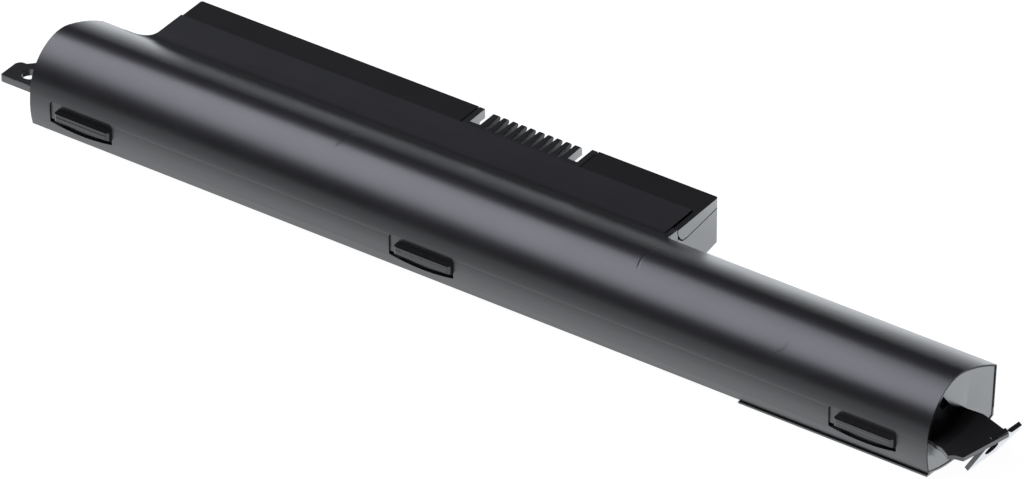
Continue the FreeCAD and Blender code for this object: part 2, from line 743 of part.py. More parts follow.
def left_bracket():
    """The left screw tab: a flat holed tongue that flares into the end wall, with a flange inside."""
    root = -CAVITY_HALF
    tip = -BARREL_HALF - TAB_REACH
    flare = TAB_ROOT_BACK_Y - TAB_BACK_Y
    wall_x = -BARREL_HALF + RIM_DEPTH
    outline = [
        line(Vec(root, TAB_FRONT_Y, 0), Vec(tip + TAB_CORNER_R * 0.4, TAB_FRONT_Y, 0)),
        arc(
            Vec(tip + TAB_CORNER_R * 0.4, TAB_FRONT_Y, 0),
            Vec(tip + TAB_CORNER_R * 0.12, TAB_FRONT_Y + TAB_CORNER_R * 0.12, 0),
            Vec(tip, TAB_FRONT_Y + TAB_CORNER_R * 0.4, 0),
        ),
        line(Vec(tip, TAB_FRONT_Y + TAB_CORNER_R * 0.4, 0), Vec(tip, TAB_BACK_Y - TAB_CORNER_R, 0)),
        arc(
            Vec(tip, TAB_BACK_Y - TAB_CORNER_R, 0),
            Vec(tip + TAB_CORNER_R * 0.293, TAB_BACK_Y - TAB_CORNER_R * 0.293, 0),
            Vec(tip + TAB_CORNER_R, TAB_BACK_Y, 0),
        ),
        line(Vec(tip + TAB_CORNER_R, TAB_BACK_Y, 0), Vec(wall_x - TAB_FLARE, TAB_BACK_Y, 0)),
        line(Vec(wall_x - TAB_FLARE, TAB_BACK_Y, 0), Vec(wall_x - TAB_FLARE + flare, TAB_ROOT_BACK_Y, 0)),
        line(Vec(wall_x - TAB_FLARE + flare, TAB_ROOT_BACK_Y, 0), Vec(root, TAB_ROOT_BACK_Y, 0)),
        line(Vec(root, TAB_ROOT_BACK_Y, 0), Vec(root, TAB_FRONT_Y, 0)),
    ]
    sheet = plan(outline, TAB_TOP_Z - TAB_THICK, TAB_TOP_Z)
    hole_x = -BARREL_HALF - TAB_HOLE_REACH
    hole = rod(
        TAB_HOLE_DIA / 2.0,
        Vec(hole_x, TAB_HOLE_Y, TAB_TOP_Z - TAB_THICK - 1.0),
        Vec(hole_x, TAB_HOLE_Y, TAB_TOP_Z + 1.0),
    )
    flange = box(
        root, root + FLANGE_THICK, TAB_FRONT_Y + 1.0, TAB_ROOT_BACK_Y,
        TAB_TOP_Z - TAB_THICK - FLANGE_RISE, TAB_TOP_Z + FLANGE_RISE,
    )
    return joined([sheet.cut(hole), flange])


def plate_axes():
    """The end plate's axes: along its top edge, up its face, and out of its face."""
    skew = math.radians(PLATE_SKEW_DEG)
    lean = math.radians(PLATE_LEAN_DEG)
    along = Vec(math.sin(skew), math.cos(skew), 0)
    level_out = Vec(math.cos(skew), -math.sin(skew), 0)
    out = level_out * math.cos(lean) - Vec(0, 0, math.sin(lean))
    up = level_out * math.sin(lean) + Vec(0, 0, math.cos(lean))
    return along, up, out


def plate_point(a, b):
    """A point on the end plate's outer face."""
    along, up, _ = plate_axes()
    return Vec(BARREL_HALF + PLATE_REACH, PLATE_Y, ARM_TOP_Z - PLATE_DROP) + along * a + up * b


def right_bracket():
    """The right bracket: a sloped arm from the end wall that carries a tapered holed plate."""
    fold = BARREL_HALF + ARM_FLAT_REACH
    far_x = BARREL_HALF + ARM_SPREAD
    drop = (far_x - fold) * ARM_SLOPE
    root = CAVITY_HALF
    section = [
        Vec(root, 0, ARM_TOP_Z), Vec(fold, 0, ARM_TOP_Z), Vec(far_x, 0, ARM_TOP_Z - drop),
        Vec(far_x, 0, ARM_TOP_Z - drop - ARM_THICK), Vec(fold, 0, ARM_TOP_Z - ARM_THICK),
        Vec(root, 0, ARM_TOP_Z - ARM_THICK),
    ]
    band = Part.Face(Part.makePolygon(section + section[:1]))
    band.translate(Vec(0, -5.0, 0))
    band = band.extrude(Vec(0, 30.0, 0))
    _, _, out = plate_axes()
    corner = plate_point(PLATE_BACK, 0)
    front_corner = plate_point(PLATE_FRONT, 0)
    points = [
        Vec(root, ARM_FRONT_Y, 0),
        Vec(BARREL_HALF + SLOT_PLAY, ARM_FRONT_Y, 0),
    ]
    points += [Vec(BARREL_HALF + x, y, 0) for x, y in ARM_EDGE]
    points += [
        Vec(front_corner.x, front_corner.y, 0),
        Vec(corner.x, corner.y, 0),
        Vec(fold + 1.0, ARM_BACK_Y + 0.4, 0),
        Vec(root, ARM_BACK_Y, 0),
    ]
    edges = [line(points[i], points[(i + 1) % len(points)]) for i in range(len(points))]
    arm = band.common(plan(edges, 0, FAR / 10.0))
    corners = [plate_point(a, b) for a, b in PLATE_OUTLINE]
    face = Part.Face(Part.makePolygon(corners + corners[:1]))
    plate = face.extrude(out * -ARM_THICK)
    hole_centre = plate_point(*PLATE_HOLE)
    hole = rod(PLATE_HOLE_DIA / 2.0, hole_centre - out * 4.0, hole_centre + out * 2.0)
    flange = box(
        root - FLANGE_THICK, root, ARM_FRONT_Y + 1.6, ARM_BACK_Y,
        ARM_TOP_Z - ARM_THICK - FLANGE_RISE, ARM_TOP_Z + FLANGE_RISE,
    )
    return joined([arm, plate, flange]).cut(hole)


def tooth_centres():
    """The X place of each comb tooth."""
    inner = FIRST_TOOTH_X + END_TOOTH_STEP
    places = [FIRST_TOOTH_X]
    places += [inner + TOOTH_PITCH * i for i in range(TOOTH_COUNT - 2)]
    places.append(places[-1] + END_TOOTH_STEP)
    return places


def tooth(x_mid, root_width, tip_width, undercut):
    """One comb tooth with a chamfered top tip and, where asked, a tip that thins from below."""
    tip_y = TONGUE_BACK_Y - COMB_TIP_INSET
    base = LID_TOP_Z - TOOTH_HEIGHT
    outline = [
        (x_mid - root_width / 2.0, COMB_ROOT_Y - 1.0, 0),
        (x_mid - root_width / 2.0, COMB_ROOT_Y, 0),
        (x_mid - tip_width / 2.0, tip_y, 0),
        (x_mid + tip_width / 2.0, tip_y, 0),
        (x_mid + root_width / 2.0, COMB_ROOT_Y, 0),
        (x_mid + root_width / 2.0, COMB_ROOT_Y - 1.0, 0),
    ]
    body = plan(rounded_path(outline), base, LID_TOP_Z)
    cutter = polygon_x(
        [
            (tip_y - COMB_TIP_CHAMFER, LID_TOP_Z + 0.01),
            (tip_y + 1.0, LID_TOP_Z + 0.01),
            (tip_y + 1.0, LID_TOP_Z - COMB_TIP_CHAMFER - 1.0),
        ],
        x_mid - 5.0, x_mid + 5.0,
    )
    if undercut:
        cutter = cutter.fuse(polygon_x(
            [
                (tip_y - TOOTH_UNDERCUT, base - 0.01),
                (tip_y, LID_TOP_Z - TOOTH_TIP_HEIGHT),
                (tip_y + 1.0, LID_TOP_Z - TOOTH_TIP_HEIGHT),
                (tip_y + 1.0, base - 0.01),
            ],
            x_mid - 5.0, x_mid + 5.0,
        ))
    return body.cut(cutter)


def connector_housing():
    """The comb moulding that fills the notch: body, teeth, floor and two cheeks."""
    x0 = NOTCH_LEFT_X + SEAM_GAP
    x1 = NOTCH_RIGHT_X - SEAM_GAP
    base = TONGUE_HEEL_Z + WALL
    board_top = BOARD_TOP_Z
    tip_y = TONGUE_BACK_Y - COMB_TIP_INSET
    deck_under = LID_SEAM_Z - SEAM_GAP
    tray_y = BOARD_BACK_Y + SEAM_GAP
    cheek_z = LID_TOP_Z - TOOTH_HEIGHT
    parts = [
        box(x0 + 1.0, x1 - 1.0, COMB_BODY_FRONT_Y, COMB_ROOT_Y, board_top, deck_under),
        box(x0, x1, LID_FRONT_Y + SEAM_GAP, COMB_ROOT_Y, board_top, LID_TOP_Z),
        box(x0, x1, tray_y, COMB_ROOT_Y, base, board_top + 0.5),
        box(x0, x1, tray_y, tip_y, base, base + COMB_FLOOR),
        box(x0, x0 + CHEEK_THICK, COMB_ROOT_Y - 1.0, tip_y, cheek_z, LID_TOP_Z),
        box(x1 - CHEEK_THICK, x1, COMB_ROOT_Y - 1.0, tip_y, cheek_z, LID_TOP_Z),
    ]
    centres = tooth_centres()
    for index, x in enumerate(centres):
        ending = index in (0, TOOTH_COUNT - 1)
        root_width = END_TOOTH_WIDTH if ending else TOOTH_ROOT_WIDTH
        tip_width = END_TOOTH_WIDTH if ending else TOOTH_TIP_WIDTH
        parts.append(tooth(x, root_width, tip_width, index < TOOTH_COUNT - 1))
    housing = joined(parts)
    for left, right in zip(centres[:-1], centres[1:]):
        middle = (left + right) / 2.0
        housing = housing.cut(box(
            middle - CONTACT_THICK / 2.0 - 0.05, middle + CONTACT_THICK / 2.0 + 0.05,
            COMB_ROOT_Y - CONTACT_LENGTH + 1.2, COMB_ROOT_Y + 0.1,
            board_top - 1.0, board_top + CONTACT_LIFT + CONTACT_HEIGHT + 0.05,
        ))
        housing = housing.cut(box(
            middle - ROOT_SLOT / 2.0, middle + ROOT_SLOT / 2.0,
            COMB_ROOT_Y - 1.0, COMB_ROOT_Y + 0.1,
            LID_TOP_Z - ROOT_SLOT_LOW, LID_TOP_Z + 1.0,
        ))
    return housing


def contact(index):
    """One contact blade that stands on the board and ends in its slot."""
    centres = tooth_centres()
    middle = (centres[index] + centres[index + 1]) / 2.0
    board_top = BOARD_TOP_Z
    y1 = COMB_ROOT_Y + 1.2
    y0 = y1 - CONTACT_LENGTH
    x0 = middle - CONTACT_THICK / 2.0
    x1 = middle + CONTACT_THICK / 2.0
    blade = box(x0, x1, y0, y1, board_top + CONTACT_LIFT, board_top + CONTACT_LIFT + CONTACT_HEIGHT)
    leg = box(x0, x1, y0, y0 + 1.4, board_top, board_top + CONTACT_LIFT + 1.0)
    return joined([blade, leg])


def circuit_board():
    """The protection board, with its peg holes."""
    board = box(
        BOARD_CENTRE_X - BOARD_LENGTH / 2.0, BOARD_CENTRE_X + BOARD_LENGTH / 2.0,
        BOARD_FRONT_Y, BOARD_FRONT_Y + BOARD_WIDTH, BOARD_Z, BOARD_Z + BOARD_THICK,
    )
    for x, y in boss_places():
        board = board.cut(rod(PEG_DIA / 2.0 + PEG_PLAY, Vec(x, y, BOARD_Z - 1.0), Vec(x, y, BOARD_Z + 3.0)))
    return board


def from_left(inset):
    """An X place on the board, by its distance from the board's left end."""
    return BOARD_CENTRE_X - BOARD_LENGTH / 2.0 + inset


def from_right(inset):
    """An X place on the board, by its distance from the board's right end."""
    return BOARD_CENTRE_X + BOARD_LENGTH / 2.0 - inset


def board_part(x, dy, length, width, height):
    """A plain component that stands on the board."""
    top = BOARD_TOP_Z
    y = BOARD_FRONT_Y + dy
    return box(x - length / 2.0, x + length / 2.0, y - width / 2.0, y + width / 2.0, top, top + height)


def chip(x, dy, length, width, height, pins, pin_pitch):
    """A moulded chip with two rows of flat legs."""
    top = BOARD_TOP_Z
    y = BOARD_FRONT_Y + dy
    body = box(x - length / 2.0, x + length / 2.0, y - width / 2.0, y + width / 2.0, top + 0.1, top + height)
    legs = [body]
    for i in range(pins):
        px = x + (i - (pins - 1) / 2.0) * pin_pitch
        legs.append(box(px - 0.15, px + 0.15, y - width / 2.0 - 0.7, y + width / 2.0 + 0.7, top, top + 0.25))
    return joined(legs)


def capacitor_row():
    """Four small capacitors in a row, each a separate solid."""
    places = [NOTCH_RIGHT_X + CAPACITOR_CLEARANCE + CAPACITOR_PITCH * i for i in range(4)]
    return Part.makeCompound([board_part(x, 9.5, 1.2, 2.0, 1.0) for x in places])


def insulator_strip(index):
    """The insulating strip on a cell's back, under the conductors that pass over it."""
    x0 = -STACK_LENGTH / 2.0 + LINK_THICK + index * CELL_PITCH + STRIP_END_GAP
    x1 = x0 + CELL_LENGTH - 2.0 * STRIP_END_GAP
    y0 = CELL_Y + CELL_R
    return box(x0, x1, y0, y0 + STRIP_THICK, CELL_Z - STRIP_WIDTH / 2.0, CELL_Z + STRIP_WIDTH / 2.0)


def thermistor():
    """The temperature bead that lies against a cell's back."""
    x = -STACK_LENGTH / 2.0 + 1.5 * CELL_PITCH + 8.0
    drop = CELL_R * 0.55
    y = CELL_Y + math.sqrt((CELL_R + BEAD_DIA / 2.0) ** 2 - drop ** 2)
    return rod(BEAD_DIA / 2.0, Vec(x, y, CELL_Z - drop), Vec(x + BEAD_LENGTH, y, CELL_Z - drop))


def build():
    """Every piece of the battery, by node name, in the design frame."""
    shell = case_shell()
    pieces = {
        "upper_housing": upper_housing(shell),
        "lower_housing": lower_housing(shell),
        "tongue_lid_left": tongue_lid(shell, TONGUE_LEFT_X - 1.0, NOTCH_LEFT_X - SEAM_GAP, False),
        "tongue_lid_right": tongue_lid(shell, NOTCH_RIGHT_X + SEAM_GAP, TONGUE_RIGHT_X + 1.0, True),
        "left_bracket": left_bracket(),
        "right_bracket": right_bracket(),
        "connector_housing": connector_housing(),
        "circuit_board": circuit_board(),
        "gauge_chip": chip(from_left(GAUGE_INSET), 8.0, 9.7, 4.4, 1.2, 14, 0.65),
        "switch_chip_a": chip(from_left(GAUGE_INSET - SWITCH_STEP), 8.0, 5.0, 4.0, 1.5, 4, 1.27),
        "switch_chip_b": chip(from_left(GAUGE_INSET + SWITCH_STEP), 8.0, 5.0, 4.0, 1.5, 4, 1.27),
        "safety_fuse": board_part(from_right(FUSE_INSET), 5.0, 4.0, 3.0, 1.4),
        "shunt_resistor": board_part(from_left(SHUNT_INSET), 8.6, 3.2, 5.6, 0.8),
        "capacitors": capacitor_row(),
        "thermistor": thermistor(),
        "end_pad_left": end_pad(-1.0),
        "end_pad_right": end_pad(1.0),
    }
    for name, x_mid in zip(("foot_left", "foot_middle", "foot_right"), FOOT_X):
        pieces[name] = foot(x_mid)
    for index in range(CELL_COUNT):
        pieces["cell_%d" % (index + 1)] = cell(index)
        pieces["insulator_ring_%d" % (index + 1)] = insulator_ring(index)
        pieces["insulator_strip_%d" % (index + 1)] = insulator_strip(index)
    bus_step = (BOARD_LENGTH - 2.0 * BUS_INSET) / CELL_COUNT * 0.936
    for index in range(CELL_COUNT + 1):
        pieces["link_strip_%d" % (index + 1)] = link_strip(index)
        pieces["bus_strip_%d" % (index + 1)] = bus_strip(index, from_left(BUS_INSET + bus_step * index))
    for index in range(TOOTH_COUNT - 1):
        pieces["contact_%d" % (index + 1)] = contact(index)
    return pieces


def main():
    """Builds the pieces, moves them to the shared origin and writes one file per node."""
    pieces = build()
    whole = Part.makeCompound(list(pieces.values())).BoundBox
    shift = Vec(-(whole.XMin + whole.XMax) / 2.0, -(whole.YMin + whole.YMax) / 2.0, -whole.ZMin)
    os.makedirs("parts", exist_ok=True)
    for name, shape in pieces.items():
        placed = shape.copy()
        placed.translate(shift)
        solids = placed.Solids
        print("%-20s solids %d valid %s volume %.1f" % (name, len(solids), placed.isValid(), placed.Volume))
        placed.exportStep(os.path.join("parts", name + ".step"))
    print("shift %.3f %.3f %.3f" % (shift.x, shift.y, shift.z))
    print("size %.2f %.2f %.2f" % (whole.XLength, whole.YLength, whole.ZLength))


main()
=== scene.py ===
"""Looks, light and camera for a laptop battery.

The battery has a cell barrel, a flat tongue with a comb connector, three feet and two brackets. Lengths are
in metres in the part's own frame: +X along the barrel towards the bent bracket, +Y towards the tongue, +Z
up. Each sub-assembly is a class. A piece is a copy of its node's solid with rounded edges, a row that
repeats one such copy, or a row of the comb's teeth, which are built here.
"""

import logging
import math
from collections.abc import Callable
from dataclasses import dataclass
from enum import Enum
from functools import partial

import bmesh
import bpy
from mathutils import Matrix, Vector


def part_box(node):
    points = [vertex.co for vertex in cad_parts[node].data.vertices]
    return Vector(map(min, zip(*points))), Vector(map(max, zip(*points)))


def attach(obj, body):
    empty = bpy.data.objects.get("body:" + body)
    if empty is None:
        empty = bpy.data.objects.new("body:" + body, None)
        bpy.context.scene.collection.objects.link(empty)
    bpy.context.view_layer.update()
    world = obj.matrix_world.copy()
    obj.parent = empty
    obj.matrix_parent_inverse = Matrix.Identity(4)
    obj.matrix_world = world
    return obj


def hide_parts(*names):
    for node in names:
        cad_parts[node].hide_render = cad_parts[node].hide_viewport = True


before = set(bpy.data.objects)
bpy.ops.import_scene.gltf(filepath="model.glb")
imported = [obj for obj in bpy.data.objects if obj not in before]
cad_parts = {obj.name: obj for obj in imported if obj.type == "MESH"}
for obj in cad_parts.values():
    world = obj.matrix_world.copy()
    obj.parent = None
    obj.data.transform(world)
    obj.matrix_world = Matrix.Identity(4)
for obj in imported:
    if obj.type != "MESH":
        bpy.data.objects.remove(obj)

LOG = logging.getLogger("battery")
MM = 0.001
BODY = "root"
SIDES = ("left", "right")
MERGE_DISTANCE = 0.002 * MM
FLAT_ANGLE = math.radians(0.4)
SMOOTH_ANGLE = math.radians(26.0)
NOISE_ROUGHNESS = 0.55

Triple = tuple[float, float, float]
Colour = Triple
WHITE: Colour = (1.0, 1.0, 1.0)

# The ends of the barrel's three handling marks: X and Y of the design, in millimetres
LEFT_MARK = ((-46.5, 8.8), (-46.9, 18.0))
MIDDLE_MARK = ((44.9, 7.7), (43.2, 20.0))
RIGHT_MARK = ((89.7, 1.5), (91.5, 4.5))


class Slot(Enum):
    """The record's material slots."""

    CASE = "case_plastic"
    COMB = "comb_plastic"
    BRACKET = "bracket_metal"
    FOOT = "foot_rubber"
    BOARD = "board_laminate"
    CHIP = "chip_resin"
    FUSE = "fuse_body"
    NICKEL = "nickel"
    CONTACT = "contact_metal"
    CELL = "cell_wrap"
    PAPER = "paper"
    FOAM = "foam"


class Wire:
    """A value socket with arithmetic: an expression on wires adds the maths nodes that work it out."""

    def __init__(self, owner: "NodeTree", socket: bpy.types.NodeSocket) -> None:
        """Wraps one output socket of a node tree."""
        self.owner = owner
        self.socket = socket

    def maths(self, operation: str, *values: "Wire | float") -> "Wire":
        """Adds one Math node.

        Args:
            operation: The node's operation.
            values: Its inputs, in order, as wires or numbers.

        Returns:
            The node's result.
        """
        node = self.owner.node("ShaderNodeMath", {"operation": operation}, dict(enumerate(values)))
        return self.owner.wire(node, 0)

    def __add__(self, other: "Wire | float") -> "Wire":
        """Sum."""
        return self.maths("ADD", self, other)

    def __radd__(self, other: float) -> "Wire":
        """Sum, with the number first."""
        return self.maths("ADD", other, self)

    def __sub__(self, other: "Wire | float") -> "Wire":
        """Difference."""
        return self.maths("SUBTRACT", self, other)

    def __rsub__(self, other: float) -> "Wire":
        """Difference, with the number first."""
        return self.maths("SUBTRACT", other, self)

    def __mul__(self, other: "Wire | float") -> "Wire":
        """Product."""
        return self.maths("MULTIPLY", self, other)

    def __rmul__(self, other: float) -> "Wire":
        """Product, with the number first."""
        return self.maths("MULTIPLY", other, self)

    def __truediv__(self, other: "Wire | float") -> "Wire":
        """Quotient."""
        return self.maths("DIVIDE", self, other)

    def __gt__(self, other: "Wire | float") -> "Wire":
        """1 where this is the greater, else 0."""
        return self.maths("GREATER_THAN", self, other)

    def at_least(self, other: "Wire | float") -> "Wire":
        """The greater of the two."""
        return self.maths("MAXIMUM", self, other)

    def size(self) -> "Wire":
        """The value without its sign."""
        return self.maths("ABSOLUTE", self)

    def ramp(self, low: float, high: float) -> "Wire":
        """A smooth step.

        Args:
            low: The value at and below which the step is 0.
            high: The value at and above which the step is 1.

        Returns:
            The step.
        """
        node = self.owner.node(
            "ShaderNodeMapRange",
            {"interpolation_type": "SMOOTHSTEP"},
            {"Value": self, "From Min": low, "From Max": high, "To Min": 0.0, "To Max": 1.0},
        )
        return self.owner.wire(node, 0)


class NodeTree:
    """What the material trees and the geometry trees share."""

    def __init__(self, tree: bpy.types.NodeTree) -> None:
        """Wraps a tree."""
        self.tree = tree

    def node(self, kind: str, settings: dict | None = None, sockets: dict | None = None) -> bpy.types.Node:
        """Adds a node.

        Args:
            kind: The node's type.
            settings: Its own properties.
            sockets: Input values, links or wires, by socket name or number.

        Returns:
            The new node.
        """
        node = self.tree.nodes.new(kind)
        for key, value in (settings or {}).items():
            setattr(node, key, value)
        for key, value in (sockets or {}).items():
            if isinstance(value, Wire):
                self.tree.links.new(value.socket, node.inputs[key])
            elif isinstance(value, bpy.types.NodeSocket):
                self.tree.links.new(value, node.inputs[key])
            else:
                node.inputs[key].default_value = value
        return node

    def wire(self, node: bpy.types.Node, output: str | int) -> Wire:
        """One output of a node as a wire."""
        return Wire(self, node.outputs[output])

    def split(self, vector: bpy.types.NodeSocket) -> tuple[Wire, Wire, Wire]:
        """The X, Y and Z of a vector."""
        node = self.node("ShaderNodeSeparateXYZ", {}, {0: vector})
        return tuple(Wire(self, output) for output in node.outputs)


class ShaderTree(NodeTree):
    """A material's node tree."""

    def __init__(self, name: str) -> None:
        """Starts an empty material.

        Args:
            name: The material's name.
        """
        self.material = bpy.data.materials.new(name)
        self.material.use_nodes = True
        super().__init__(self.material.node_tree)
        self.tree.nodes.clear()
        self.output = self.tree.nodes.new("ShaderNodeOutputMaterial")

    def place(self) -> bpy.types.NodeSocket:
        """The object's own coordinates."""
        return self.node("ShaderNodeTexCoord").outputs["Object"]

    def noise(self, size: float, detail: float = 2.0, stretch: Triple | None = None) -> Wire:
        """A noise pattern.

        Args:
            size: The size of its spots, in metres.
            detail: How many finer layers it has.
            stretch: A factor on each axis of the pattern, or None.

        Returns:
            The pattern's value, about 0 to 1.
        """
        where = self.place()
        if stretch is not None:
            where = self.node("ShaderNodeMapping", {}, {"Vector": where, "Scale": stretch}).outputs[0]
        node = self.node(
            "ShaderNodeTexNoise",
            {"noise_dimensions": "3D"},
            {"Vector": where, "Scale": 1.0 / size, "Detail": detail, "Roughness": NOISE_ROUGHNESS},
        )
        return self.wire(node, 0)

    def mixed(self, mask: Wire, first: Colour, second: Colour) -> bpy.types.NodeSocket:
        """A colour between two others.

        Args:
            mask: How far it lies from the first to the second, 0 to 1.
            first: The colour at 0.
            second: The colour at 1.

        Returns:
            The mixed colour.
        """
        node = self.node(
            "ShaderNodeMix",
            {"data_type": "RGBA"},
            {"Factor": mask, 6: (*first, 1.0), 7: (*second, 1.0)},
        )
        return node.outputs[2]

    def bump(
        self, height: Wire, depth: float, below: bpy.types.NodeSocket | None = None
    ) -> bpy.types.NodeSocket:
        """A bumped normal.

        Args:
            height: The pattern, 0 to 1.
            depth: The height of 1, in metres.
            below: The normal that it is added to, or None.

        Returns:
            The normal.
        """
        sockets: dict = {"Height": height, "Distance": depth, "Strength": 1.0}
        if below is not None:
            sockets["Normal"] = below
        return self.node("ShaderNodeBump", {}, sockets).outputs[0]

    def ended(self, surface: bpy.types.Node) -> bpy.types.Material:
        """Ends the tree in a shader node, and gives its material."""
        self.tree.links.new(surface.outputs[0], self.output.inputs["Surface"])
        return self.material

    def principled(self, sockets: dict) -> bpy.types.Material:
        """Ends the tree in one Principled shader with these inputs, and gives its material."""
        return self.ended(self.node("ShaderNodeBsdfPrincipled", {}, sockets))


@dataclass(frozen=True)
class Mark:
    """A short shallow mark across the barrel's top, from one place to another."""

    start: Vector
    end: Vector

    def lean(self) -> float:
        """How far it goes along X for each step along Y."""
        return (self.end.x - self.start.x) / (self.end.y - self.start.y)


@dataclass(frozen=True)
class SatinPlastic:
    """Moulded plastic with a fine grain, and on the barrel a slow waviness and a few handling marks."""

    name: str
    colour: Colour = (0.02, 0.02, 0.022)
    sheen: float = 0.3
    sheen_spread: float = 0.06
    index: float = 1.6
    cloud_size: float = 14.0 * MM
    cloud_share: float = 0.1
    grain_size: float = 0.35 * MM
    grain_depth: float = 0.006 * MM
    wave_size: float = 26.0 * MM
    wave_stretch: Triple = (0.35, 1.0, 1.0)
    wave_depth: float = 0.0
    marks: tuple[Mark, ...] = ()
    mark_width: float = 0.55 * MM
    mark_fade: float = 1.0 * MM
    mark_depth: float = 0.05 * MM
    wander_size: float = 6.0 * MM
    wander_reach: float = 2.0 * MM

    def material(self) -> bpy.types.Material:
        """Builds the material.

        Returns:
            The material.
        """
        shader = ShaderTree(self.name)
        cloud = shader.noise(self.cloud_size, 3.0)
        dark = tuple(c * (1.0 - self.cloud_share) for c in self.colour)
        light = tuple(c * (1.0 + self.cloud_share) for c in self.colour)
        normal = shader.bump(shader.noise(self.grain_size, 1.0), self.grain_depth)
        if self.wave_depth > 0.0:
            waves = shader.noise(self.wave_size, 0.0, self.wave_stretch)
            normal = shader.bump(waves, self.wave_depth, normal)
        if self.marks:
            normal = shader.bump(self.marked(shader), -self.mark_depth, normal)
        return shader.principled(
            {
                "Base Color": shader.mixed(cloud, dark, light),
                "Roughness": self.sheen + self.sheen_spread * (cloud - 0.5),
                "IOR": self.index,
                "Normal": normal,
            }
        )

    def marked(self, shader: ShaderTree) -> Wire:
        """Where the handling marks lie.

        Args:
            shader: The tree that the pattern is built in.

        Returns:
            A value that is 1 in the middle of a mark and 0 outside.
        """
        x, y, _ = shader.split(shader.place())
        wander = (shader.noise(self.wander_size, 1.0) - 0.5) * self.wander_reach
        fade = self.mark_fade
        total = None
        for mark in self.marks:
            off = (x - (y - mark.start.y) * mark.lean() - mark.start.x + wander).size()
            begun = y.ramp(mark.start.y - fade, mark.start.y + fade)
            ended = y.ramp(mark.end.y - fade, mark.end.y + fade)
            line = (1.0 - off.ramp(0.0, self.mark_width)) * (begun * (1.0 - ended))
            total = line if total is None else total + line
        return total


@dataclass(frozen=True)
class Metal:
    """A bare or plated metal with faint brushing along X."""

    name: str
    colour: Colour
    roughness: float = 0.3
    spread: float = 0.15
    brushing_size: float = 0.3 * MM
    brushing_stretch: Triple = (0.05, 1.0, 1.0)

    def material(self) -> bpy.types.Material:
        """Builds the material.

        Returns:
            The material.
        """
        shader = ShaderTree(self.name)
        brushing = shader.noise(self.brushing_size, 2.0, self.brushing_stretch)
        return shader.principled(
            {
                "Base Color": (*self.colour, 1.0),
                "Metallic": 1.0,
                "Roughness": self.roughness + self.spread * (brushing - 0.5),
            }
        )


@dataclass(frozen=True)
class Plain:
    """An even material with a slight mottle: lacquer, resin, paper, foam or a shrunk sleeve."""

    name: str
    colour: Colour
    roughness: float = 0.5
    mottle_size: float = 1.5 * MM
    mottle: float = 0.12
    spread: float = 0.1

    def material(self) -> bpy.types.Material:
        """Builds the material.

        Returns:
            The material.
        """
        shader = ShaderTree(self.name)
        spots = shader.noise(self.mottle_size, 3.0)
        dark = tuple(c * (1.0 - self.mottle) for c in self.colour)
        light = tuple(c * (1.0 + self.mottle) for c in self.colour)
        return shader.principled(
            {
                "Base Color": shader.mixed(spots, dark, light),
                "Roughness": self.roughness + self.spread * (spots - 0.5),
            }
        )


class Places:
    """The design's own axes in the part frame, read from the solids."""

    SEAM_TO_TONGUE_BACK = 53.25 * MM

    def __init__(self) -> None:
        """Reads the barrel's middle and half length, and the line of its front seam."""
        low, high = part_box("upper_housing")
        self.mid_x = (low[0] + high[0]) / 2.0
        self.barrel_half = (high[0] - low[0]) / 2.0
        self.seam_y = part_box("lower_housing")[1][1] - self.SEAM_TO_TONGUE_BACK

    def at(self, x: float, y: float, z: float) -> Vector:
        """A point of the design, in millimetres, in the part frame."""
        return Vector((self.mid_x + x * MM, self.seam_y + y * MM, z * MM))

    def mark(self, start: tuple[float, float], end: tuple[float, float]) -> Mark:
        """A handling mark between two places of the design, in millimetres."""
        return Mark(self.at(*start, 0.0), self.at(*end, 0.0))


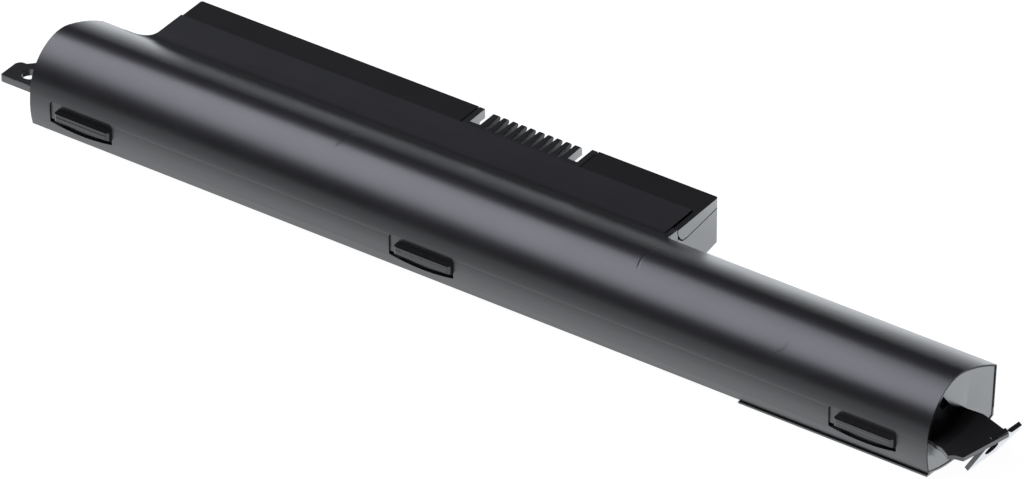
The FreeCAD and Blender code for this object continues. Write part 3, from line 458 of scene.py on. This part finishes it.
class Finishes:
    """Every finish of the battery, each built once."""

    def __init__(self, places: Places) -> None:
        """Builds the materials.

        Args:
            places: Where the handling marks lie.
        """
        self.barrel = SatinPlastic(
            "barrel_satin",
            sheen=0.33,
            index=1.75,
            wave_depth=0.5 * MM,
            marks=tuple(places.mark(*ends) for ends in (LEFT_MARK, MIDDLE_MARK, RIGHT_MARK)),
        ).material()
        self.deck = SatinPlastic("deck_satin", sheen=0.36).material()
        self.lid = SatinPlastic("lid_satin", (0.016, 0.016, 0.016), index=1.5).material()
        # Glossy black of the mouldings' ends, with a high index so that it reflects brightly; on the comb's
        # outer faces that look towards +X it is a painted highlight.
        self.end_gloss_and_highlight = SatinPlastic(
            "end_gloss_and_painted_highlight", (0.02, 0.021, 0.024), sheen=0.2, index=2.2, grain_depth=0.0003 * MM
        ).material()
        self.comb = SatinPlastic("comb_satin", (0.022, 0.022, 0.023), index=1.55).material()
        # Painted shade: a darker, duller copy of the comb's black for the teeth's sides that look towards
        # +X; the barrel's end rims use it too.
        self.side_shade_and_rim_black = SatinPlastic("side_shade_and_rim_black", (0.012, 0.012, 0.013), sheen=0.4, index=1.25).material()
        self.bracket = SatinPlastic(
            "bracket_coat", (0.026, 0.026, 0.027), sheen=0.22, index=1.8, grain_depth=0.002 * MM
        ).material()
        self.rubber = SatinPlastic("foot_rubber", (0.012, 0.012, 0.012), sheen=0.22).material()
        # Painted highlight: pale metal for the right bracket's large outer plate face, so that it reflects
        # the white table and looks near white.
        self.plate_highlight_metal = Metal("bracket_painted_highlight", (0.5, 0.5, 0.51)).material()
        self.nickel = Metal("nickel_strip", (0.72, 0.7, 0.66)).material()
        self.contact = Metal("contact_plate", (0.85, 0.66, 0.3), 0.25).material()
        self.board = Plain("board_lacquer", (0.02, 0.16, 0.06), 0.3).material()
        self.chip = Plain("chip_resin", (0.02, 0.02, 0.02), 0.55).material()
        self.fuse = Plain("fuse_ceramic", (0.75, 0.73, 0.68)).material()
        self.sleeve = Plain("cell_sleeve", (0.04, 0.25, 0.4), 0.3, 8.0 * MM, 0.05).material()
        self.paper = Plain("ring_paper", (0.8, 0.78, 0.7), 0.8).material()
        self.foam = Plain("pad_foam", (0.1, 0.1, 0.11), 0.9).material()


def placed(name: str, data: bpy.types.ID) -> bpy.types.Object:
    """Adds an object to the scene.

    Args:
        name: Its name.
        data: Its mesh, light or camera.

    Returns:
        The new object.
    """
    item = bpy.data.objects.new(name, data)
    bpy.context.scene.collection.objects.link(item)
    return item


def points_object(name: str, points: list[Vector]) -> bpy.types.Object:
    """Adds an object whose mesh is a set of loose points.

    Args:
        name: Its name.
        points: The points.

    Returns:
        The new object.
    """
    mesh = bpy.data.meshes.new(name)
    mesh.from_pydata([tuple(point) for point in points], [], [])
    return placed(name, mesh)


class GeometryTree(NodeTree):
    """A Geometry Nodes tree with named inputs that repeats one shape over an object's points."""

    def __init__(self, name: str) -> None:
        """Starts a tree with its geometry input and output.

        Args:
            name: The tree's name.
        """
        super().__init__(bpy.data.node_groups.new(name, "GeometryNodeTree"))
        for way in ("INPUT", "OUTPUT"):
            self.tree.interface.new_socket("Geometry", in_out=way, socket_type="NodeSocketGeometry")
        self.entry = self.tree.nodes.new("NodeGroupInput")
        self.exit = self.tree.nodes.new("NodeGroupOutput")
        self.settings: dict[str, float] = {}
        self.identifiers: dict[str, str] = {}

    def value(self, name: str, amount: float) -> Wire:
        """A named input of the tree.

        Args:
            name: The input's name.
            amount: What the modifier sets it to, unless apply says otherwise.

        Returns:
            The input inside the tree.
        """
        item = self.tree.interface.new_socket(name, in_out="INPUT", socket_type="NodeSocketFloat")
        self.identifiers[name] = item.identifier
        self.settings[name] = amount
        return self.wire(self.entry, name)

    def vector(self, *parts: Wire | float) -> bpy.types.NodeSocket:
        """A vector from three wires or numbers."""
        return self.node("ShaderNodeCombineXYZ", {}, dict(enumerate(parts))).outputs[0]

    def position(self) -> tuple[Wire, Wire, Wire]:
        """The X, Y and Z of each point of the shape that the tree works on."""
        return self.split(self.node("GeometryNodeInputPosition").outputs[0])

    def instanced(
        self, shape: bpy.types.NodeSocket, material: bpy.types.Material, size: Wire | float = 1.0
    ) -> None:
        """Repeats a shape on the object's points, and ends the tree in real geometry of one finish.

        Args:
            shape: The geometry to repeat.
            material: Its finish.
            size: A factor on its size.
        """
        points = self.entry.outputs["Geometry"]
        scale = self.vector(size, size, size)
        repeated = self.node(
            "GeometryNodeInstanceOnPoints", {}, {"Points": points, "Instance": shape, "Scale": scale}
        )
        real = self.node("GeometryNodeRealizeInstances", {}, {"Geometry": repeated.outputs["Instances"]})
        finished = self.node(
            "GeometryNodeSetMaterial", {}, {"Geometry": real.outputs["Geometry"], "Material": material}
        )
        self.tree.links.new(finished.outputs["Geometry"], self.exit.inputs["Geometry"])

    def apply(self, piece: bpy.types.Object, **changed: float) -> None:
        """Puts the tree on an object, with its inputs set.

        Args:
            piece: The object whose points carry the shape.
            changed: Inputs that differ from their usual amounts, with underscores for the names' spaces.
        """
        modifier = piece.modifiers.new(self.tree.name, "NODES")
        modifier.node_group = self.tree
        amounts = self.settings | {key.replace("_", " "): amount for key, amount in changed.items()}
        for name, amount in amounts.items():
            modifier[self.identifiers[name]] = amount


def bevelled(piece: bpy.types.Object, width: float, segments: int) -> bpy.types.Modifier:
    """Puts a bevel on a piece's sharp edges.

    Args:
        piece: The piece.
        width: The width of the rounded edges, in metres.
        segments: The number of faces across an edge.

    Returns:
        The bevel.
    """
    bevel = piece.modifiers.new("edge", "BEVEL")
    bevel.width = width
    bevel.segments = segments
    bevel.limit_method = "ANGLE"
    bevel.angle_limit = SMOOTH_ANGLE
    return bevel


def baked(piece: bpy.types.Object) -> bpy.types.Object:
    """Turns a piece with its modifiers into a plain mesh at the same place.

    Args:
        piece: The piece, whose modifiers are removed.

    Returns:
        The same piece.
    """
    depsgraph = bpy.context.evaluated_depsgraph_get()
    result = bpy.data.meshes.new_from_object(piece.evaluated_get(depsgraph))
    piece.modifiers.clear()
    piece.data = result
    return piece


def hand_over(piece: bpy.types.Object, slot: Slot, *nodes: str) -> None:
    """Gives a finished piece to the frame and reports it.

    Args:
        piece: The finished piece.
        slot: The record's slot that it takes its finish from; not used.
        nodes: The solids that it stands for.
    """
    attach(piece, BODY)
    if nodes:
        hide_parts(*nodes)
    LOG.info("%s: %d faces", piece.name, len(piece.data.polygons))


@dataclass
class SubAssembly:
    """What every sub-assembly has: the finishes and the places that its pieces use."""

    finishes: Finishes
    places: Places

    def rounded(
        self,
        name: str,
        node: str,
        edge: float,
        segments: int = 3,
        trim: Callable[[bmesh.types.BMesh], None] | None = None,
        chosen: Callable[[bmesh.types.BMEdge], bool] | None = None,
    ) -> bpy.types.Object:
        """A copy of a node's solid, with merged corners, joined flats and rounded edges.

        Args:
            name: The new piece's name.
            node: The node whose solid is copied.
            edge: The width of the rounded edges, in metres, or 0 for none.
            segments: The number of faces across an edge.
            trim: What changes the copy before its edges are rounded, or None.
            chosen: Which edges are rounded, or None for all sharp ones.

        Returns:
            The new piece.
        """
        mesh = bpy.data.meshes.new(name)
        shape = bmesh.new()
        shape.from_mesh(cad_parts[node].data)
        bmesh.ops.remove_doubles(shape, verts=shape.verts, dist=MERGE_DISTANCE)
        bmesh.ops.dissolve_limit(shape, angle_limit=FLAT_ANGLE, verts=shape.verts, edges=shape.edges)
        if trim:
            trim(shape)
        if chosen:
            weight = shape.edges.layers.float.new("bevel_weight_edge")
            for corner in shape.edges:
                corner[weight] = float(chosen(corner))
        for face in shape.faces:
            face.smooth = True
        for corner in shape.edges:
            corner.smooth = corner.calc_face_angle(0.0) < SMOOTH_ANGLE
        shape.to_mesh(mesh)
        shape.free()
        piece = placed(name, mesh)
        if edge > 0.0:
            bevel = bevelled(piece, edge, segments)
            bevel.harden_normals = True
            bevel.miter_outer = "MITER_ARC"
            if chosen:
                bevel.limit_method = "WEIGHT"
        return baked(piece)

    def dress(self, node: str, material: bpy.types.Material, slot: Slot, edge: float) -> None:
        """Dresses one node's copy in one finish.

        Args:
            node: The node.
            material: Its finish.
            slot: The record's slot.
            edge: The width of its rounded edges, in metres.
        """
        piece = self.rounded(node + "_piece", node, edge, 2)
        self.paint(piece, material)
        hand_over(piece, slot, node)

    def row(
        self, name: str, nodes: list[str], material: bpy.types.Material, slot: Slot, edge: float
    ) -> None:
        """Dresses like nodes as one piece, which repeats the first node's rounded solid at each one's place.

        Args:
            name: The new piece's name.
            nodes: The nodes, which differ only in their place.
            material: The finish.
            slot: The record's slot.
            edge: The width of the rounded edges, in metres.
        """
        boxes = [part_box(node) for node in nodes]
        centres = [(Vector(low) + Vector(high)) / 2.0 for low, high in boxes]
        shape = self.rounded(name + "_shape", nodes[0], edge, 2)
        shape.data.transform(Matrix.Translation(-centres[0]))
        repeat = GeometryTree(name + "_repeat")
        size = repeat.value("Shape size", 1.0)
        source = repeat.node("GeometryNodeObjectInfo", {}, {"Object": shape})
        repeat.instanced(source.outputs["Geometry"], material, size)
        piece = points_object(name, centres)
        repeat.apply(piece)
        baked(piece)
        bpy.data.objects.remove(shape)
        hand_over(piece, slot, *nodes)

    @staticmethod
    def paint(piece: bpy.types.Object, *materials: bpy.types.Material) -> None:
        """Gives a piece its materials.

        Args:
            piece: The piece.
            materials: Its materials, the first of them everywhere.
        """
        piece.data.materials.clear()
        for material in materials:
            piece.data.materials.append(material)
        for face in piece.data.polygons:
            face.material_index = 0

    @staticmethod
    def repaint(
        piece: bpy.types.Object, index: int, chosen: Callable[[bpy.types.MeshPolygon], bool]
    ) -> None:
        """Gives some faces of a piece another of its materials.

        Args:
            piece: The piece.
            index: The material's number among the piece's own, from 0.
            chosen: Which faces get it.
        """
        for face in piece.data.polygons:
            if chosen(face):
                face.material_index = index


@dataclass
class Case(SubAssembly):
    """The mouldings: the barrel's skin with the deck, the pan under it and the two lid strips."""

    edge: float = 0.3 * MM
    lid_edge: float = 0.25 * MM
    deck_front: float = 31.5 * MM
    end_depth: float = 2.5 * MM
    rim_depth: float = 0.1 * MM
    facing: float = 0.9

    def build(self) -> None:
        """Builds and dresses the four mouldings."""
        self.skin()
        self.moulding("pan_and_tray", "lower_housing", self.edge, self.finishes.barrel)
        for side in SIDES:
            self.moulding("lid_strip_" + side, "tongue_lid_" + side, self.lid_edge, self.finishes.lid)

    def skin(self) -> None:
        """The barrel's skin, with other finishes on the deck and the ends, and the darker, duller black on
        the ends' thin outer rims, which draws a dark line round each end face.
        """
        piece = self.rounded("barrel_skin", "upper_housing", self.edge)
        looks = self.finishes
        self.paint(piece, looks.barrel, looks.deck, looks.end_gloss_and_highlight, looks.side_shade_and_rim_black)
        deck_y = self.places.seam_y + self.deck_front
        self.repaint(piece, 1, lambda face: face.center.y > deck_y)
        self.repaint(piece, 2, lambda face: self.on_end(face, self.end_depth))
        # The ends' thin outer rims get the darker, duller black: a dark line round each end face.
        self.repaint(piece, 3, lambda face: self.on_end(face, self.rim_depth))
        hand_over(piece, Slot.CASE, "upper_housing")

    def on_end(self, face: bpy.types.MeshPolygon, depth: float) -> bool:
        """Whether a face looks along the barrel and lies less than a depth inside one of its ends."""
        inset = self.places.barrel_half - abs(face.center.x - self.places.mid_x)
        return abs(face.normal.x) > self.facing and inset < depth

    def moulding(self, name: str, node: str, edge: float, material: bpy.types.Material) -> None:
        """A moulding with glossy faces where it looks towards +X.

        Args:
            name: The new piece's name.
            node: The node whose solid it copies.
            edge: The width of its rounded edges, in metres.
            material: Its finish elsewhere.
        """
        piece = self.rounded(name, node, edge)
        self.paint(piece, material, self.finishes.end_gloss_and_highlight)
        self.repaint(piece, 1, lambda face: face.normal.x > self.facing)
        hand_over(piece, Slot.CASE, node)


@dataclass
class Comb(SubAssembly):
    """The connector's housing with its teeth, and the contact blades between them."""

    edge: float = 0.15 * MM
    blade_edge: float = 0.06 * MM
    blades: int = 9
    cheek: float = 1.7 * MM
    cheek_side: float = 3.4 * MM
    tooth_length: float = 6.75 * MM
    tooth_sunk: float = 0.3 * MM
    tooth_height: float = 2.8 * MM
    tooth_tip_height: float = 1.3 * MM
    tooth_root: float = 1.8 * MM
    tooth_tip: float = 1.25 * MM
    undercut: float = 1.8 * MM
    chamfer: float = 0.7 * MM
    end_step: float = 1.5 * MM
    loops: int = 30
    cut_margin: float = 0.02 * MM
    facing: float = 0.7

    def build(self) -> None:
        """Builds and dresses the housing, the teeth and the blades."""
        low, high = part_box("connector_housing")
        trim = partial(self.without_teeth, low, high)
        housing = self.rounded("comb_housing", "connector_housing", self.edge, 2, trim)
        self.paint(housing, self.finishes.comb, self.finishes.end_gloss_and_highlight)
        # Painted highlight: the left cheek's face towards the teeth gets the brighter glossy black.
        self.repaint(housing, 1, partial(self.on_left_cheek, low, high))
        hand_over(housing, Slot.COMB, "connector_housing")
        blades = ["contact_%d" % number for number in range(1, self.blades + 1)]
        self.teeth(high, [(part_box(blade)[0][0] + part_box(blade)[1][0]) / 2.0 for blade in blades])
        self.row("contact_blades", blades, self.finishes.contact, Slot.CONTACT, self.blade_edge)

    def bar_length(self) -> float:
        """The length of a tooth with its root, which is sunk in the housing."""
        return self.tooth_length + self.tooth_sunk

    def on_left_cheek(self, low: Vector, high: Vector, face: bpy.types.MeshPolygon) -> bool:
        """Whether a face is the side of the left cheek that looks towards the teeth.

        Args:
            low: The housing's lowest corner.
            high: Its highest corner.
            face: A face of the housing.

        Returns:
            True if it is.
        """
        behind_root = face.center.y > high[1] - self.tooth_length
        beside_teeth = behind_root and face.center.z > high[2] - self.tooth_height
        return beside_teeth and face.normal.x > self.facing and face.center.x < low[0] + self.cheek_side

    def without_teeth(self, low: Vector, high: Vector, shape: bmesh.types.BMesh) -> None:
        """Takes the teeth off the housing's copy and closes their roots.

        Args:
            low: The housing's lowest corner.
            high: Its highest corner.
            shape: The copy, which is changed.
        """
        root_y = high[1] - self.tooth_length
        bmesh.ops.bisect_plane(
            shape,
            geom=shape.verts[:] + shape.edges[:] + shape.faces[:],
            plane_co=(0.0, root_y, 0.0),
            plane_no=(0.0, 1.0, 0.0),
            dist=MERGE_DISTANCE,
        )
        from_x = low[0] + self.cheek + self.cut_margin
        to_x = high[0] - self.cheek - self.cut_margin
        from_y = root_y + self.cut_margin
        from_z = high[2] - self.tooth_height - self.cut_margin
        middles = [(face, face.calc_center_median()) for face in shape.faces]
        doomed = [face for face, at in middles if from_x < at.x < to_x and at.y > from_y and at.z > from_z]
        bmesh.ops.delete(shape, geom=doomed, context="FACES")
        bmesh.ops.holes_fill(shape, edges=[edge for edge in shape.edges if edge.is_boundary], sides=0)
        bmesh.ops.dissolve_limit(shape, angle_limit=FLAT_ANGLE, verts=shape.verts, edges=shape.edges)

    def tooth_tree(self) -> GeometryTree:
        """Builds the tree that puts a tooth on each point.

        Returns:
            The tree. Its tooth narrows to the tip, is chamfered above it and undercut below it.
        """
        length = self.bar_length()
        height = self.tooth_height
        tree = GeometryTree("comb_teeth_repeat")
        root = tree.value("Root width", self.tooth_root)
        tip = tree.value("Tip width", self.tooth_tip)
        tip_height = tree.value("Tip height", self.tooth_tip_height)
        undercut = tree.value("Undercut length", self.undercut)
        chamfer = tree.value("Tip chamfer", self.chamfer)
        size = tree.vector(root, length, height)
        bar = tree.node("GeometryNodeMeshCube", {}, {"Size": size, "Vertices Y": self.loops})
        x, y, z = tree.position()
        to_tip = length / 2.0 - y
        narrowed = x * (tip / root + (1.0 - tip / root) * (to_tip * (1.0 / length)))
        drop = (chamfer - to_tip).at_least(0.0) * (z > 0.0)
        rise = (undercut - to_tip).at_least(0.0) / undercut * (height - tip_height) * (1.0 - (z > 0.0))
        moved = tree.vector(narrowed, y, z - drop + rise)
        shaped = tree.node(
            "GeometryNodeSetPosition", {}, {"Geometry": bar.outputs["Mesh"], "Position": moved}
        )
        tree.instanced(shaped.outputs[0], self.finishes.comb)
        return tree

    def teeth(self, high: Vector, blade_places: list[float]) -> None:
        """Builds and dresses the ten teeth, of which the outer two don't narrow.

        Args:
            high: The housing's highest corner.
            blade_places: The X of each contact blade, from left to right.
        """
        tree = self.tooth_tree()
        inner = [(a + b) / 2.0 for a, b in zip(blade_places[:-1], blade_places[1:])]
        first = blade_places[0] - self.end_step
        last = blade_places[-1] + self.end_step
        middle_y = high[1] - self.bar_length() / 2.0
        middle_z = high[2] - self.tooth_height / 2.0
        full_width = {"Tip_width": self.tooth_root}
        full_end = full_width | {"Tip_height": self.tooth_height}
        # Painted light on the teeth's sides that look towards +X: the darker, duller black is painted shade
        # on the first and inner teeth, and the brighter glossy black is a painted highlight on the last one.
        rows = (
            ("comb_tooth_first", [first], full_width, self.finishes.side_shade_and_rim_black),
            ("comb_teeth", inner, {}, self.finishes.side_shade_and_rim_black),
            ("comb_tooth_last", [last], full_end, self.finishes.end_gloss_and_highlight),
        )
        for name, places, changed, side in rows:
            row = points_object(name, [Vector((place, middle_y, middle_z)) for place in places])
            tree.apply(row, **changed)
            bevelled(row, self.edge, 2)
            baked(row)
            self.paint(row, self.finishes.comb, side)
            self.repaint(row, 1, lambda face: face.normal.x > self.facing)
            hand_over(row, Slot.COMB)


@dataclass
class Feet(SubAssembly):
    """The three rubber feet."""

    edge: float = 0.45 * MM
    reach: float = 0.02 * MM
    under: float = 1.3 * MM
    straight: float = 0.9
    names: tuple[str, ...] = ("foot_left", "foot_middle", "foot_right")

    def build(self) -> None:
        """Builds and dresses the feet."""
        for name in self.names:
            low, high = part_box(name)
            foot = self.rounded(name + "_pad", name, self.edge, 4, None, partial(self.on_rim, low, high))
            self.paint(foot, self.finishes.rubber)
            hand_over(foot, Slot.FOOT, name)

    def on_rim(self, low: Vector, high: Vector, corner: bmesh.types.BMEdge) -> bool:
        """Whether an edge of a foot is one of the two long ones at its front.

        Args:
            low: The foot's lowest corner.
            high: Its highest corner.
            corner: The edge.

        Returns:
            True if it is.
        """
        start, end = (vertex.co for vertex in corner.verts)
        middle = (start + end) / 2.0
        along = abs(start.x - end.x) > corner.calc_length() * self.straight
        at_front = middle.y < low[1] + self.reach
        at_rim = middle.z > high[2] - self.reach or middle.z < low[2] + self.under
        return along and at_front and at_rim


@dataclass
class Brackets(SubAssembly):
    """The flat tab at the left end, and the bent bracket at the right end, whose plate's large outer face
    gets pale metal as a painted highlight.
    """

    edge: float = 0.15 * MM
    highlight_area: float = 10.0 * MM * MM
    highlight_way: Triple = (0.876, -0.164, -0.454)
    highlight_match: float = 0.97

    def build(self) -> None:
        """Builds and dresses the two brackets."""
        for side in SIDES:
            bracket = self.rounded(side + "_end_bracket", side + "_bracket", self.edge)
            self.paint(bracket, self.finishes.bracket, self.finishes.plate_highlight_metal)
            # Painted highlight: the right plate's large outer face gets the pale metal.
            if side == "right":
                self.repaint(bracket, 1, self.is_highlight_face)
            hand_over(bracket, Slot.BRACKET, side + "_bracket")

    def is_highlight_face(self, face: bpy.types.MeshPolygon) -> bool:
        """Whether a face is the plate's large outer one, which gets the pale metal as a painted highlight.
        """
        return face.area > self.highlight_area and face.normal.dot(Vector(self.highlight_way)) > self.highlight_match


@dataclass
class CellRow(SubAssembly):
    """The four cells with their rings, strips, links and end pads."""

    cells: int = 4
    edge: float = 0.1 * MM
    pad_edge: float = 0.3 * MM

    def build(self) -> None:
        """Builds and dresses the row. The last link differs from the others, so it is a piece of its own."""
        looks = self.finishes
        kinds = (
            ("cell", looks.sleeve, Slot.CELL, 0.0),
            ("insulator_ring", looks.paper, Slot.PAPER, 0.0),
            ("insulator_strip", looks.paper, Slot.PAPER, 0.0),
            ("link_strip", looks.nickel, Slot.NICKEL, self.edge),
        )
        for kind, material, slot, edge in kinds:
            nodes = ["%s_%d" % (kind, number) for number in range(1, self.cells + 1)]
            self.row(kind + "_row", nodes, material, slot, edge)
        self.dress("link_strip_%d" % (self.cells + 1), looks.nickel, Slot.NICKEL, self.edge)
        for number in range(1, self.cells + 2):
            self.dress("bus_strip_%d" % number, looks.nickel, Slot.NICKEL, self.edge)
        for side in SIDES:
            self.dress("end_pad_" + side, looks.foam, Slot.FOAM, self.pad_edge)


@dataclass
class Board(SubAssembly):
    """The protection board with its parts."""

    edge: float = 0.05 * MM
    fuse_edge: float = 0.1 * MM
    bead_edge: float = 0.2 * MM

    def build(self) -> None:
        """Builds and dresses the board and what stands on it or leads to it."""
        looks = self.finishes
        self.dress("circuit_board", looks.board, Slot.BOARD, self.edge)
        for chip in ("gauge_chip", "switch_chip_a", "switch_chip_b"):
            self.dress(chip, looks.chip, Slot.CHIP, self.edge)
        self.dress("safety_fuse", looks.fuse, Slot.FUSE, self.fuse_edge)
        self.dress("capacitors", looks.fuse, Slot.FUSE, self.edge)
        self.dress("shunt_resistor", looks.nickel, Slot.NICKEL, self.edge)
        self.dress("thermistor", looks.chip, Slot.CHIP, self.bead_edge)


@dataclass
class Studio:
    """A white table in a dim room, an overhead soft light and the camera.

    The table looks evenly white to the camera. In reflections its glow changes with the distance from the
    barrel, as cards round the object would make it: it falls from table_near to table_far in front, rises by
    table_back some way behind and falls off by dim_behind further back. Lengths are in metres.
    """

    places: Places
    azimuth: float = math.radians(34.5831)
    elevation: float = math.radians(34.2168)
    distance: float = 2481.26 * MM
    aim_right: float = 10.68 * MM
    aim_up: float = 13.25 * MM
    aim_height: float = 3.2 * MM
    lens: float = 351.5625
    sensor: float = 36.0
    view_end: float = 100.0
    table_size: float = 12.0
    table_own: float = 0.97
    table_colour: Colour = (0.2, 0.2, 0.2)
    glow_colour: Colour = (0.93, 0.965, 1.0)
    table_near: float = 1.5
    table_far: float = 0.62
    front_start: float = 8.0 * MM
    front_end: float = 30.0 * MM
    table_back: float = 0.55
    back_start: float = 60.0 * MM
    back_end: float = 90.0 * MM
    dim_behind: float = 0.85
    dim_start: float = 140.0 * MM
    dim_end: float = 250.0 * MM
    room: Colour = (0.04, 0.04, 0.042)
    light_place: Triple = (-0.62, -0.26, 1.2)
    light_size: tuple[float, float] = (2.2, 0.8)
    light_power: float = 18.3
    light_colour: Colour = (0.88, 0.895, 1.0)

    def build(self) -> None:
        """Builds the table, the world, the light and the camera."""
        self.table()
        self.world()
        self.overhead()
        self.camera()

    def table(self) -> None:
        """The white table, which keeps the object's shadow."""
        half = self.table_size / 2.0
        mesh = bpy.data.meshes.new("table")
        rim = [(-half, -half, 0.0), (half, -half, 0.0), (half, half, 0.0), (-half, half, 0.0)]
        mesh.from_pydata(rim, [], [(0, 1, 2, 3)])
        mesh.materials.append(self.table_material())
        placed("table", mesh)

    def table_material(self) -> bpy.types.Material:
        """Builds the table's material.

        Returns:
            The material: a grey paint that glows white to the camera and tinted in reflections.
        """
        shader = ShaderTree("table_white")
        path = shader.node("ShaderNodeLightPath")
        through = shader.wire(path, "Is Transmission Ray")
        direct = (shader.wire(path, "Is Camera Ray") + through).ramp(0.0, 1.0)
        seen = direct + shader.wire(path, "Is Glossy Ray") * self.mirrored(shader)
        tint = shader.mixed(direct, self.glow_colour, WHITE)
        paint = shader.node("ShaderNodeBsdfDiffuse", {}, {"Color": (*self.table_colour, 1.0)})
        glow = shader.node("ShaderNodeEmission", {}, {"Color": tint, "Strength": self.table_own * seen})
        both = shader.node("ShaderNodeAddShader", {}, {0: paint.outputs[0], 1: glow.outputs[0]})
        return shader.ended(both)

    def mirrored(self, shader: ShaderTree) -> Wire:
        """How bright each place of the table looks in reflections.

        Args:
            shader: The table's tree.

        Returns:
            A factor on the table's glow.
        """
        _, y, _ = shader.split(shader.place())
        forward = self.places.seam_y - y
        backward = forward * -1.0
        fall = (self.table_near - self.table_far) * forward.ramp(self.front_start, self.front_end)
        rise = 1.0 + self.table_back * backward.ramp(self.back_start, self.back_end)
        dim = 1.0 - self.dim_behind * backward.ramp(self.dim_start, self.dim_end)
        return (self.table_near - fall) * (rise * dim)

    def world(self) -> None:
        """The dim room round the table."""
        world = bpy.data.worlds.new("room")
        world.use_nodes = True
        background = world.node_tree.nodes["Background"]
        background.inputs["Color"].default_value = (*self.room, 1.0)
        background.inputs["Strength"].default_value = 1.0
        bpy.context.scene.world = world

    def overhead(self) -> None:
        """The rectangular soft light, which faces the battery from above."""
        lamp = bpy.data.lights.new("overhead", "AREA")
        lamp.shape = "RECTANGLE"
        lamp.size = self.light_size[0]
        lamp.size_y = self.light_size[1]
        lamp.energy = self.light_power
        lamp.color = self.light_colour
        holder = placed("overhead", lamp)
        holder.location = self.light_place
        holder.rotation_euler = (-Vector(self.light_place)).to_track_quat("-Z", "Y").to_euler()

    def camera(self) -> None:
        """The camera at the photograph's angle, square to its own axes."""
        sin_a, cos_a = math.sin(self.azimuth), math.cos(self.azimuth)
        sin_e, cos_e = math.sin(self.elevation), math.cos(self.elevation)
        right = Vector((cos_a, sin_a, 0.0))
        back = Vector((sin_a * cos_e, -cos_a * cos_e, sin_e))
        up = Vector((-sin_e * sin_a, sin_e * cos_a, cos_e))
        origin = self.places.at(0.0, 0.0, 0.0) + Vector((0.0, 0.0, self.aim_height))
        aim = origin + right * self.aim_right + up * self.aim_up
        data = bpy.data.cameras.new("camera")
        data.lens = self.lens
        data.sensor_width = self.sensor
        data.clip_end = self.view_end
        holder = placed("camera", data)
        holder.location = aim + back * self.distance
        holder.rotation_euler = (-back).to_track_quat("-Z", "Y").to_euler()
        bpy.context.scene.camera = holder
        bpy.context.scene.view_settings.view_transform = "Standard"


def main() -> None:
    """Builds the battery and the studio."""
    logging.basicConfig(level=logging.INFO, format="%(name)s %(message)s")
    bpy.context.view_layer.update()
    places = Places()
    finishes = Finishes(places)
    for assembly in (Case, Comb, Feet, Brackets, CellRow, Board):
        assembly(finishes, places).build()
    Studio(places).build()


if __name__ == "__main__":
    main()
